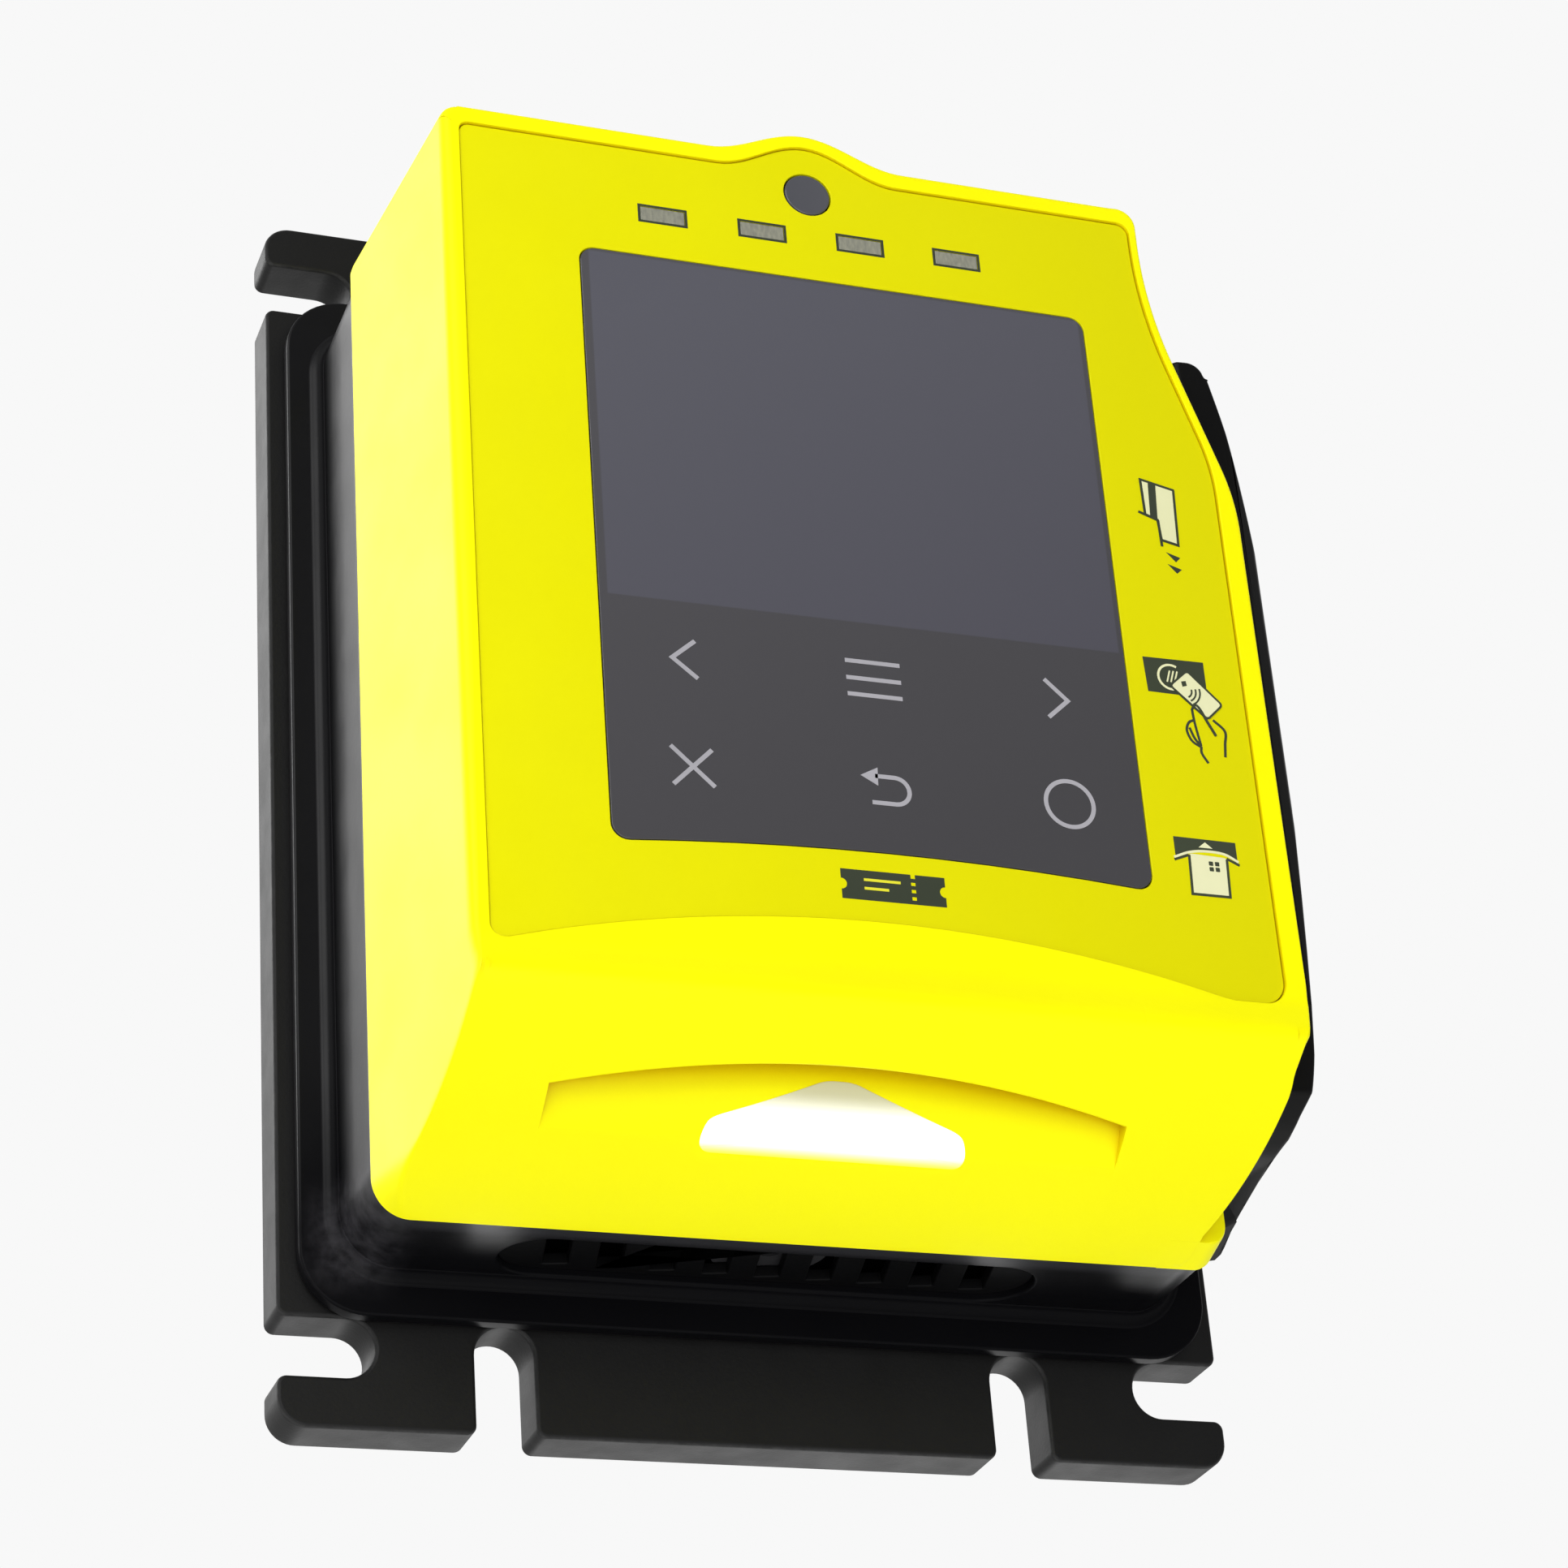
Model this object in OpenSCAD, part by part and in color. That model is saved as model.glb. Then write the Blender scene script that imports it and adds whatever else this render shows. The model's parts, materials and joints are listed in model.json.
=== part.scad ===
// Wall-mounted ticket validator: display, touch keys, chip-card slot, swipe groove and contactless antenna.
// Millimetres. Origin at the centre of the mounting plate's back face, front towards -Y, +Z up.

/* [Body] */
// Width of the body at the joint between cover and base
body_w = 105.4; // [104:0.2:130]
// Height of the body at the joint between cover and base
body_h = 129.8; // [128:0.2:160]
// Distance from the wall to the face of the cover
face_depth = 51.8; // [50:0.2:60]
// Distance from the wall to the joint between cover and base
joint_depth = 26.1; // [25:0.1:28]
// Wall thickness of cover and base
wall = 2.4; // [2:0.1:3]

/* [Mounting plate] */
// Border of the plate beyond the body at each side
plate_side = 6.4; // [5:0.1:20]
// Border of the plate beyond the body above and below
plate_end = 17.9; // [16:0.1:30]
// Thickness of the mounting plate
plate_t = 7; // [6:0.1:9]
// Corner radius of the plate
plate_r = 3.5; // [2:0.5:6]
// Width of the open-ended fixing slots
slot_w = 7.1; // [5:0.1:9]
// Distance between the vertical slots
slot_gap_x = 64.4; // [50:0.2:76]
// Distance from the plate's edge to the arc centre of the vertical slots
slot_in_z = 9.7; // [7:0.1:11]
// Distance from the plate's edge to the arc centre of the side slots
slot_in_x = 8; // [6:0.1:10]

/* [Base] */
// Reach of the flange beyond the body at each side
flange_side = 4.3; // [3:0.1:6]
// Reach of the flange beyond the body above and below
flange_end = 5.2; // [4:0.1:8]
// Thickness of the flange and of the base's floor
flange_t = 2.2; // [2:0.1:3]
// Thickness of the gasket under the flange
gasket_t = 0.6; // [0.4:0.1:1]
// Half length of the sound and drain grille under the base
grille_half = 33; // [20:1:36]

/* [Cover] */
// How far the left side leans in from the joint to the face
draft_in = 5.4; // [3:0.2:8]
// How far the upper right edge lies inside the joint's width
narrow_in = 7.4; // [6:0.2:9]
// How far the wing reaches beyond the joint's width
wing_out = 1.6; // [0:0.1:4]
// Height of the middle of the S-curve in the right edge
curve_z = 42.8; // [35:0.2:46]
// Slant of the right edge between its two arcs, in degrees
curve_slant = 17.6; // [12:0.2:24]
// Rise of the face's top edge above the joint's top
top_rise = 6.8; // [4:0.2:8]
// Height of the swell in the middle of the top edge
swell_h = 3.7; // [0:0.1:5]
// Half width of the swell
swell_half = 13; // [8:1:18]
// Radius of the rounded chin
chin_r = 46; // [44:0.5:48]

/* [Face panel] */
// Gap around the panels that lie in a recess
panel_gap = 0.12; // [0.05:0.01:0.3]
// Depth of the panels under the cover's front edge
panel_sink = 0.4; // [0.2:0.1:0.8]
// Thickness of the face panel
panel_t = 1.3; // [1:0.1:1.8]
// Margin between the cover's left edge and the panel
panel_margin = 2.2; // [1.6:0.1:3]
// Width of the dark window
window_w = 66.5; // [60:0.5:68]
// Height of the dark window
window_h = 81; // [76:0.5:82]
// Width of the lit area of the display
lit_w = 64.8; // [60:0.2:66]
// Height of the lit area of the display
lit_h = 48.6; // [44:0.2:49]

/* [Card readers] */
// Width of the card that both readers take
card_w = 54; // [53.9:0.1:54]
// Thickness of that card
card_t = 0.76; // [0.7:0.01:0.84]
// Middle of the chip slot, left of the body's middle
card_x = -2.4; // [-4:0.1:0]
// Width of the swipe groove, square to the card
groove_w = 2.6; // [2:0.1:3]
// Depth of the groove's floor in front of the wall
groove_floor = 31; // [30:0.1:32]
// Lean of the swipe groove away from square, in degrees
groove_lean = 17.2; // [15:0.1:19]
// Travel of the sprung magnetic head
head_travel = 0.8; // [0.4:0.1:0.9]
// Travel of the contact carriage
carriage_travel = 2.5; // [1.5:0.1:3]

/* [Hidden] */
$fn = 64;
over = 1;                                  // how far a cut runs past the face it starts from
touch = 0.05;                              // play where a screw or a pin sits in its hole
hw = body_w / 2;
hh = body_h / 2;
face_y = -face_depth;
joint_y = -joint_depth;
plate_hw = hw + plate_side;
plate_hh = hh + plate_end;
slot_z = plate_hh - slot_in_z;
slot_x = plate_hw - slot_in_x;
slot_flare = 1.2;                          // rounding of a slot's mouth
base_back = -plate_t - gasket_t;
flange_y = base_back - flange_t;
base_gap = 0.1;                            // the base's walls lie this far inside the cover's rim
base_hw = hw - base_gap;
base_hh = hh - base_gap;
base_r = 6.5;
seal_t = 0.6;
grille_y = joint_y + 9;                    // middle of the grille under the base
grille_r = 5.5;
floor_y = flange_y - 0.2;                  // inner side of the base's floor
face_left = -(hw - draft_in);
narrow_x = hw - narrow_in;
wing_x = hw + wing_out;
curve_r_in = 60;                           // upper, hollow arc of the S-curve
curve_r_out = 30;                          // lower, full arc of the S-curve
chin_nose = 1.4;                           // how far the chin stands in front of the face
chin_c = [joint_y + 11.3, -hh + chin_r - 1.5];   // centre of the chin's arc, as [y, z]
chin_top_z = -hh + 19.1;                   // where the arc starts under the nose
nose_start_z = -hh + 23.7;
side_band = 1.6;                           // straight edge of the wing behind the face
ledge_y = -groove_floor;
groove_slope = tan(groove_lean);
groove_foot = hw - 6.2;                    // the groove's inner wall where it meets its floor
band_y = face_y + side_band;
lean_top_y = band_y + 0.8;                 // where the groove's inner wall starts behind the wing's edge
panel_back = face_y + panel_sink + panel_t;
shelf_t = 1.9;                             // inner ledge of the cover that carries the face panel
shelf_back = panel_back + shelf_t;
panel_front = panel_back - panel_t;
panel_left = face_left + panel_margin;
panel_narrow = narrow_x - 1.2;
panel_wide = wing_x - 2.8;
panel_top = hh + top_rise - 2.6;
panel_low_z = -hh + 23.4;
panel_arc_r = 163;                         // hollow arc along the panel's lower edge
panel_arc_z = -hh + 29.4;                  // the top of that arc
window_x = 2.8;                            // middle of the window
window_top = hh - 11.7;
window_arc_r = 345;
lit_x = 3;
lit_z = hh - 36.4;
led_z = hh - 5.3;
led_x = [-19.5, -6.5, 6.5, 19.5];
led_w = 5.8;
led_h = 2.1;
sensor_z = hh + 1.4;
sensor_r = 3.1;
module_w = lit_w + 7.2;                    // outline of the display module
module_h = lit_h + 5.4;
module_t = 3.4;
module_back = panel_back + module_t;
tray_t = 0.7;
tray_back = module_back + tray_t;
key_board_t = 1.2;
antenna_t = 0.8;
// chip-card slot
slot_half = 34.7;                          // half width of the scoop under the slot's lip
lip_r = 130;                               // radius of the lip, square to the chin
lip_c = [joint_y - 12.5, -hh + 4.8];       // where the scoop runs out on the chin, as [y, z]
lip_reach = 12.1;                          // from there up to the middle of the lip
chin_lean = 49;                            // slope of the chin at the slot, from upright
floor_c = [joint_y - 4.6, -hh + 15.1];     // centre of the scoop's rounded floor, as [y, z]
floor_r = 13;
floor_t = 2.2;
card_gap = 0.45;                           // room for a card at each of its sides
slot_front = floor_c[0] - floor_r - card_t - card_gap;
slot_back = floor_c[0] - floor_r + 0.15;
reader_w = card_w + 6;
reader_low = -hh + 16.2;
reader_top = -hh + 62.9;
front_plate_t = 1.5;
back_plate_t = 2;
back_plate_y = slot_back + back_plate_t;
board_y = -36.5;                           // front side of the main board
board_t = 1.6;
reader_post_r = 2.5;
carriage_w = 17.2;
carriage_h = 16;
carriage_z = -hh + 43;
carriage_play = 0.4;
housing_w = carriage_w + 10;
housing_back = board_y - 0.4;
housing_wall = 1.4;
leaf_t = 0.3;
lever_x = card_x + 17.2;
lever_y = slot_back + 3.9;
lever_z = reader_top - 8;
// magnetic head, in its own frame: x out of the groove's inner wall, y to the groove's floor
head_depth = 10;                           // from the groove's floor to the middle of the stripe
head_z = -16;
head_w = 7.6;
head_h = 12;
head_l = 9.9;
head_out = 0.9;
head_hole = 0.4;
head_y = ledge_y - head_depth * cos(groove_lean);
head_x = groove_foot + head_depth * sin(groove_lean);
bracket_in = 11.7;
bracket_half = 16;
bracket_w = 7;
bracket_t = 1;
// rail
rail_foot_x = base_hw + touch;
rail_clear = 0.3;
rail_bulge = 9.3;                          // reach of the rail beyond the joint's width
rail_z = 14;                               // height at which the rail reaches furthest
rail_top = 55.9;
rail_upper_r = 190;
rail_lower_r = 650;
rail_front = face_depth - 9.2;
rail_end_c = [joint_y + 10.1, -hh + 40.9];
rail_end_r = 37;
rail_corner_c = [hw - 7.2, -hh + 15.9];
rail_corner_r = 14;
rail_screw_z = [51, 21, -21, -54];
rail_screw_y = -19;
// screws and bosses
boss_x = 38.5;
boss_r = 3.7;
boss_z = [hh - 4.9, -hh + 10.9];
cover_screw_r = 1.5;
cover_head_r = 2.8;
cover_head_t = 2;
cover_seat = base_back - 2.3;
cover_screw_l = 24.5;
insert_r = 2.3;
insert_l = 5;
plate_screw_x = hw - 8.7;
plate_screw_z = [42, 0, -42];
plate_screw_r = 2;
plate_head_r = 4;
plate_head_t = 2.3;
plate_screw_l = 16;
rail_screw_r = 1.25;
board_screw_r = 1.2;
// rear ports and service bay
port_lo = [-28, -46];
port_hi = [28, -24];
port_r = 2;
port_board_y = -17.4;
port_board_t = 1.6;
port_front = base_back + 0.2;
jack_lo = [-24, -43];
jack_size = [16, 14];
jack_wall = 2;
bay_half = 18;
bay_lo = 26;
bay_hi = 46;
door_half = 20;
door_lo = 24;
door_hi = 48;
door_t = 1.8;
door_gap = 0.3;
door_y = -0.2;
hinge_r = 0.8;
hinge_y = door_y - 1.4;
hinge_z = door_hi - 1.7;
knuckle_r = 1.4;

// ---- shared shapes ----

module front_slab(y0, t) {
    translate([0, y0, 0]) rotate([90, 0, 0]) linear_extrude(t) children();
}

module side_slab(x0, w) {
    translate([x0, 0, 0]) rotate([90, 0, 90]) linear_extrude(w) children();
}

module block(lo, hi) {
    translate(lo) cube(hi - lo);
}

module round_rect(lo, hi, r) {
    translate([lo[0] + r, lo[1]]) square([hi[0] - lo[0] - 2 * r, hi[1] - lo[1]]);
    translate([lo[0], lo[1] + r]) square([hi[0] - lo[0], hi[1] - lo[1] - 2 * r]);
    for (x = [lo[0] + r, hi[0] - r], z = [lo[1] + r, hi[1] - r])
        translate([x, z]) circle(r);
}

module centred_rect(half_w, half_h, r) {
    round_rect([-half_w, -half_h], [half_w, half_h], r);
}

// A cylinder along Y from y0 to y1
module rod_y(x, z, r, y0, y1) {
    translate([x, y0, z]) rotate([-90, 0, 0]) cylinder(r = r, h = y1 - y0);
}

// A cylinder along X from x0 to x1
module rod_x(y, z, r, x0, x1) {
    translate([x0, y, z]) rotate([0, 90, 0]) cylinder(r = r, h = x1 - x0);
}

// What rounding takes off the corner at x, z; sx and sz point out of the corner
module corner_cut(x, z, r, sx, sz) {
    translate([x, z]) difference() {
        translate([sx > 0 ? -r : -over, sz > 0 ? -r : -over]) square(r + over);
        translate([-sx * r, -sz * r]) circle(r);
    }
}

// ---- outlines of the cover ----

// Points on an arc round c, from angle a0 to a1
function arc_points(c, r, a0, a1, steps = 12) =
    [for (i = [0:steps]) let (a = a0 + (a1 - a0) * i / steps) c + r * [cos(a), sin(a)]];

// Front outline: straight at the left; at the right an S-curve swings out to the wing
module winged_outline(left, narrow, wide, bottom, top, mid_z, r_in, r_out) {
    rise = (wide - narrow) / 2 / tan(curve_slant);
    c_in = [narrow + r_in, mid_z + rise + r_in * tan(curve_slant / 2)];
    c_out = [wide - r_out, mid_z - rise - r_out * tan(curve_slant / 2)];
    polygon([[left, bottom], [wide, bottom], each arc_points(c_out, r_out, 0, curve_slant),
        each arc_points(c_in, r_in, 180 + curve_slant, 180), [narrow, top], [left, top]]);
}

// Swell in the middle of a top edge
module swell(top, rise, half) {
    steps = 24;
    polygon([[half, top - over], each [for (i = [0:steps])
        let (x = half - 2 * half * i / steps) [x, top + rise * (1 + cos(180 * x / half)) / 2]],
        [-half, top - over]]);
}

module cover_outline(inset) {
    difference() {
        winged_outline(face_left - 10 + inset, narrow_x - inset, wing_x - inset, -hh - over,
            hh + top_rise - inset, curve_z, curve_r_in + inset, curve_r_out - inset);
        corner_cut(narrow_x - inset, hh + top_rise - inset, 2.5, 1, 1);
    }
}

module panel_outline(grow) {
    difference() {
        union() {
            winged_outline(panel_left - grow, panel_narrow + grow, panel_wide + grow, panel_low_z - grow,
                panel_top + grow, curve_z + 1.9, curve_r_in + 2 - grow, curve_r_out - 2 + grow);
            swell(panel_top + grow, swell_h + 0.4, swell_half - 1);
        }
        translate([0.5, panel_arc_z - panel_arc_r - grow]) circle(panel_arc_r, $fn = 720);
        corner_cut(panel_left - grow, panel_top + grow, 1.2, -1, 1);
        corner_cut(panel_narrow + grow, panel_top + grow, 1.6, 1, 1);
        corner_cut(panel_wide + grow, panel_low_z - grow, 3, 1, -1);
        corner_cut(panel_left - grow, panel_low_z - grow, 1.6, -1, -1);
    }
}

module window_outline(grow) {
    lo = [window_x - window_w / 2 - grow, window_top - window_h - grow];
    hi = [window_x + window_w / 2 + grow, window_top + grow];
    difference() {
        round_rect(lo, hi, 2);
        translate([window_x, lo[1] - window_arc_r + 1.4]) circle(window_arc_r, $fn = 720);
    }
}

// Side profile [y, z] of the cover, with the top leaning back and the chin rounded under
module cover_profile(inset, top_z) {
    front = inset > 0 ? shelf_back : face_y;
    nose = inset > 0 ? shelf_back : face_y - chin_nose;
    lean = (top_rise) / (face_depth - joint_depth);
    drop = inset / cos(atan(lean));
    back = inset > 0 ? joint_y + over : joint_y;
    intersection() {
        polygon([[back, -hh - over], [back, top_z - drop], [joint_y, top_z - drop], [front, top_z + lean * (joint_y - front) - drop],
            [front, nose_start_z], [nose, chin_top_z], [nose, -hh - over]]);
        union() {
            translate(chin_c) circle(chin_r - inset, $fn = 360);
            translate([face_y - 5, chin_top_z]) square([face_depth, 3 * hh]);
        }
    }
}

// Plan limits [x, y]: the left side leans, the right side is cut back behind the wing
module cover_plan(inset) {
    lean = draft_in / (face_depth - joint_depth);
    far = face_y - 2 * chin_nose;
    back = inset > 0 ? joint_y + over : joint_y;
    left_at = function (y) -hw + lean * (joint_y - y) + inset;
    polygon([[left_at(ledge_y), ledge_y], [left_at(far), far], [wing_x - inset, far],
        [wing_x - inset, band_y], [groove_foot + groove_slope * (ledge_y - lean_top_y) - inset, lean_top_y],
        [groove_foot - inset, ledge_y]]);
    polygon([[left_at(back), back], [left_at(ledge_y), ledge_y],
        [inset > 0 ? groove_foot - inset : hw, ledge_y],
        [inset > 0 ? groove_foot - inset : hw, ledge_y + inset], [hw - inset, ledge_y + inset],
        [hw - inset, back]]);
}

// Solid of the cover's outside (inset 0) or of its hollow
module cover_body(inset) {
    intersection() {
        side_slab(-2 * hw, 4 * hw) cover_profile(inset, hh);
        translate([0, 0, -2 * hh]) linear_extrude(4 * hh) cover_plan(inset);
        union() {
            front_slab(ledge_y, face_depth) cover_outline(inset);
            block([-2 * hw, ledge_y, -2 * hh], [2 * hw, joint_y + over, 2 * hh]);
        }
    }
}

// ---- chip-card slot ----

// Carries a shape drawn square to the chin, [x, along the slope], to its place
module on_chin(depth, out) {
    translate([card_x, lip_c[0], lip_c[1]]) rotate([chin_lean, 0, 0]) rotate([90, 0, 0])
        translate([0, 0, -depth]) linear_extrude(depth + out) children();
}

module lip_shape() {
    intersection() {
        translate([0, lip_reach - lip_r]) circle(lip_r, $fn = 720);
        translate([-slot_half, -4]) square([2 * slot_half, lip_reach + 4]);
    }
}

module floor_round(r, half_w) {
    rod_x(floor_c[0], floor_c[1], r, card_x - half_w, card_x + half_w);
}

module arrow_shape(grow) {
    half = 16.2 + grow;
    low = 0.4 - grow;
    side = 3.2;
    tip = 10.6 + grow;
    polygon([[-half + 1, low], [half - 1, low], [half, low + 1], [half - 1.6, side], [1.4, tip], [-1.4, tip],
        [-half + 1.6, side], [-half, low + 1]]);
}

// ---- magnetic head frame ----

module at_head() {
    translate([head_x, head_y, head_z]) rotate([0, 0, groove_lean]) children();
}

// ---- sub-parts ----

module slot_cut() {
    translate([-slot_w / 2, 0]) square([slot_w, plate_hh]);
    circle(slot_w / 2);
}

module plate_slots() {
    for (sx = [-1, 1], sz = [-1, 1]) {
        translate([sx * slot_gap_x / 2, sz * slot_z]) rotate(sz > 0 ? 0 : 180) {
            slot_cut();
            slot_flares(slot_in_z);
        }
        translate([sx * slot_x, sz * slot_z]) rotate(sx > 0 ? -90 : 90) {
            slot_cut();
            slot_flares(slot_in_x);
        }
    }
}

module slot_flares(depth) {
    for (s = [-1, 1])
        difference() {
            translate([s * (slot_w + slot_flare) / 2, depth]) square(slot_flare * [1, 2], center = true);
            translate([s * (slot_w / 2 + slot_flare), depth - slot_flare]) circle(slot_flare);
        }
}

module mounting_plate() {
    color("#3a3a3c") difference() {
        front_slab(0, plate_t) difference() {
            centred_rect(plate_hw, plate_hh, plate_r);
            plate_slots();
            round_rect(port_lo, port_hi, port_r);
        }
        front_slab(over, plate_t + 2 * over) round_rect([-door_half, door_lo], [door_half, door_hi], 1);
        for (sx = [-1, 1], z = plate_screw_z) {
            rod_y(sx * plate_screw_x, z, plate_screw_r + 0.2, -plate_t - over, over);
            translate([sx * plate_screw_x, 0, z]) rotate([90, 0, 0])
                cylinder(r1 = plate_head_r + 0.1, r2 = plate_screw_r + 0.1, h = plate_head_t);
        }
        for (s = [-1, 1])
            rod_x(hinge_y, hinge_z, hinge_r + 0.02, s * door_half - 3, s * door_half + 3);
    }
}

module plate_gasket() {
    color("#101012") front_slab(-plate_t, gasket_t) difference() {
        centred_rect(hw + flange_side - 0.8, hh + flange_end - 0.8, 7.4);
        centred_rect(hw - 2.6, hh - 2, 5);
    }
}

module base_bosses() {
    for (sx = [-1, 1]) {
        for (z = boss_z)
            rod_y(sx * boss_x, z, boss_r, joint_y, floor_y + 0.2);
        for (z = plate_screw_z)
            rod_y(sx * plate_screw_x, z, plate_screw_r * 2, floor_y - 7, floor_y + 0.2);
    }
}

module base_screw_holes() {
    for (sx = [-1, 1]) {
        for (z = boss_z) {
            rod_y(sx * boss_x, z, cover_screw_r + 0.2, joint_y - over, base_back + over);
            rod_y(sx * boss_x, z, cover_head_r + 0.3, cover_seat, base_back + over);
        }
        for (z = plate_screw_z)
            rod_y(sx * plate_screw_x, z, plate_screw_r + touch, floor_y - 8, base_back + over);
    }
    for (z = rail_screw_z)
        rod_x(rail_screw_y, z, rail_screw_r + 0.15, base_hw - wall - over, base_hw + over);
}

// Long hole with round ends, in the plane of the base's underside, as [x, y]
module grille_shape(inset) {
    end_r = grille_r - inset;
    for (s = [-1, 1])
        translate([card_x + s * (grille_half - grille_r), grille_y]) circle(end_r);
    translate([card_x - grille_half + grille_r, grille_y - end_r])
        square([2 * (grille_half - grille_r), 2 * end_r]);
}

module base_housing() {
    color("#232326") difference() {
        union() {
            difference() {
                union() {
                    front_slab(base_back, flange_t) centred_rect(hw + flange_side, hh + flange_end, 8);
                    front_slab(flange_y, flange_y - joint_y) centred_rect(base_hw, base_hh, base_r);
                }
                front_slab(floor_y, joint_depth) centred_rect(base_hw - wall, base_hh - wall, base_r - wall);
            }
            base_bosses();
        }
        front_slab(joint_y + seal_t, wall) seal_ring();
        base_screw_holes();
        translate([0, 0, -base_hh - over]) linear_extrude(wall + 2 * over) grille_shape(0);
        front_slab(base_back + over, flange_t + 2 * over) {
            round_rect(port_lo, port_hi, port_r);
            round_rect([-bay_half, bay_lo], [bay_half, bay_hi], 1);
        }
    }
}

module base_grille() {
    bars = 9;
    pitch = 2 * (grille_half - 7) / (bars - 1);
    color("#17171a") translate([0, 0, -base_hh + 0.9]) difference() {
        linear_extrude(wall - 0.9) grille_shape(0.05);
        for (i = [0:bars - 1])
            translate([card_x - grille_half + 7 + i * pitch, grille_y, -over]) rotate([0, 0, -12])
                translate([-1.5, -4, 0]) cube([3, 8, wall + 2 * over]);
    }
}

module seal_ring() {
    difference() {
        centred_rect(base_hw - 0.6, base_hh - 0.6, base_r - 0.6);
        centred_rect(base_hw - wall + 0.6, base_hh - wall + 0.6, base_r - wall + 0.6);
    }
}

module joint_seal() {
    color("#0d0d0f") front_slab(joint_y + seal_t, seal_t) seal_ring();
}

module front_cover() {
    color("#f4ee10") difference() {
        union() {
            difference() {
                cover_body(0);
                cover_body(wall);
            }
            intersection() {
                cover_body(0);
                union() {
                    for (sx = [-1, 1], z = boss_z)
                        rod_y(sx * boss_x, z, boss_r, face_y + 2, joint_y);
                    difference() {
                        floor_round(floor_r, slot_half + 2);
                        floor_round(floor_r - floor_t, slot_half + 3);
                        block([-hw, floor_c[0], -hh - over], [hw, 0, hh]);
                        block([-hw, face_y, floor_c[1]], [hw, 0, hh]);
                    }
                    block([card_x - slot_half - 2, shelf_back, lip_c[1] + 7.8],
                        [card_x + slot_half + 2, floor_c[0] - floor_r + floor_t, reader_low - touch]);
                }
            }
            intersection() {
                side_slab(-swell_half, 2 * swell_half) cover_profile(0, hh + swell_h);
                front_slab(joint_y - over, face_depth) swell(hh + top_rise - over, swell_h + over, swell_half);
                block([-hw, face_y, 0], [hw, joint_y, 2 * hh]);
            }
        }
        front_slab(panel_back, face_depth) panel_outline(panel_gap);
        front_slab(shelf_back + over, shelf_t + 2 * over) {
            round_rect([lit_x - module_w / 2 - 0.3, window_top - window_h + 0.8],
                [lit_x + module_w / 2 + 0.3, lit_z + module_h / 2 + 0.3], 1);
            for (x = led_x)
                translate([x - led_w / 2, led_z - led_h / 2]) square([led_w, led_h]);
            translate([0, sensor_z]) circle(sensor_r);
        }
        difference() {
            on_chin(20, 20) lip_shape();
            floor_round(floor_r, slot_half + 5);
            block([-hw, floor_c[0], -hh - over], [hw, joint_y + over, hh]);
            block([-hw, floor_c[0] - floor_r, floor_c[1]], [hw, joint_y + over, hh]);
        }
        block([card_x - card_w / 2 - card_gap, slot_front, floor_c[1] - 4],
            [card_x + card_w / 2 + card_gap, slot_back - 0.15, reader_low + 2]);
        on_chin(6, 20) arrow_shape(0.1);
        for (sx = [-1, 1], z = boss_z)
            rod_y(sx * boss_x, z, insert_r, joint_y - insert_l - 7, joint_y + over);
        at_head() translate([-2 * wall, -head_w / 2 - head_hole, -head_h / 2 - head_hole])
            cube([4 * wall, head_w + 2 * head_hole, head_h + 2 * head_hole]);
    }
}

module face_panel() {
    color("#e3de12") front_slab(panel_back, panel_t) difference() {
        panel_outline(0);
        window_outline(panel_gap);
        for (x = led_x)
            translate([x, led_z]) square([led_w + panel_gap, led_h + panel_gap], center = true);
        translate([0, sensor_z]) circle(sensor_r + panel_gap / 2);
    }
}

module window_pane() {
    color("#55555c") front_slab(panel_back, panel_t) window_outline(0);
}

module status_windows() {
    color("#8a8a70") for (x = led_x)
        front_slab(panel_back + 1, panel_t + 1)
            translate([x, led_z]) square([led_w - panel_gap, led_h - panel_gap], center = true);
}

module sensor_lens() {
    color("#4a4a4e") rod_y(0, sensor_z, sensor_r - panel_gap, panel_front, panel_back + 1.2);
}

module antenna_board() {
    color("#1f5c34") front_slab(shelf_back + antenna_t, antenna_t) difference() {
        intersection() {
            round_rect([face_left + wall + 1.2, -hh + 25], [narrow_x - wall - 0.6, hh + 5.3 - wall], 2);
            cover_outline(wall + 0.4);
        }
        square_at([lit_x - module_w / 2 - 0.6, window_top - window_h + 0.4],
            [lit_x + module_w / 2 + 0.6, lit_z + module_h / 2 + 0.6]);
        for (sx = [-1, 1])
            translate([sx * boss_x, boss_z[0]]) circle(boss_r + 0.3);
    }
}

module square_at(lo, hi) {
    translate(lo) square(hi - lo);
}

module status_leds() {
    color("#d8d8c8") for (x = concat(led_x, [0])) {
        z = x == 0 ? sensor_z : led_z;
        block([x - 1, shelf_back - 0.6, z - 0.8], [x + 1, shelf_back, z + 0.8]);
    }
}

module display_module() {
    color("#2b2b30") block([lit_x - module_w / 2, panel_back, lit_z - module_h / 2],
        [lit_x + module_w / 2, module_back, lit_z + module_h / 2]);
}

module display_tray() {
    color("#b9bcc0") block([lit_x - module_w / 2 - 0.2, module_back, lit_z - module_h / 2 - 0.2],
        [lit_x + module_w / 2 + 0.2, tray_back, lit_z + module_h / 2 + 0.2]);
}

module touch_key_board() {
    low = window_top - window_h + 1.2;
    color("#174a2a") block([window_x - window_w / 2 + 0.4, panel_back, low],
        [window_x + window_w / 2 - 0.4, panel_back + key_board_t, lit_z - module_h / 2 - 0.4]);
}

module arrow_light_guide() {
    color("#f4f4f0") intersection() {
        on_chin(6, 20) arrow_shape(0);
        difference() {
            floor_round(floor_r, slot_half);
            floor_round(floor_r - floor_t, slot_half + over);
            block([-hw, face_y, floor_c[1]], [hw, 0, hh]);
        }
    }
}

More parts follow.
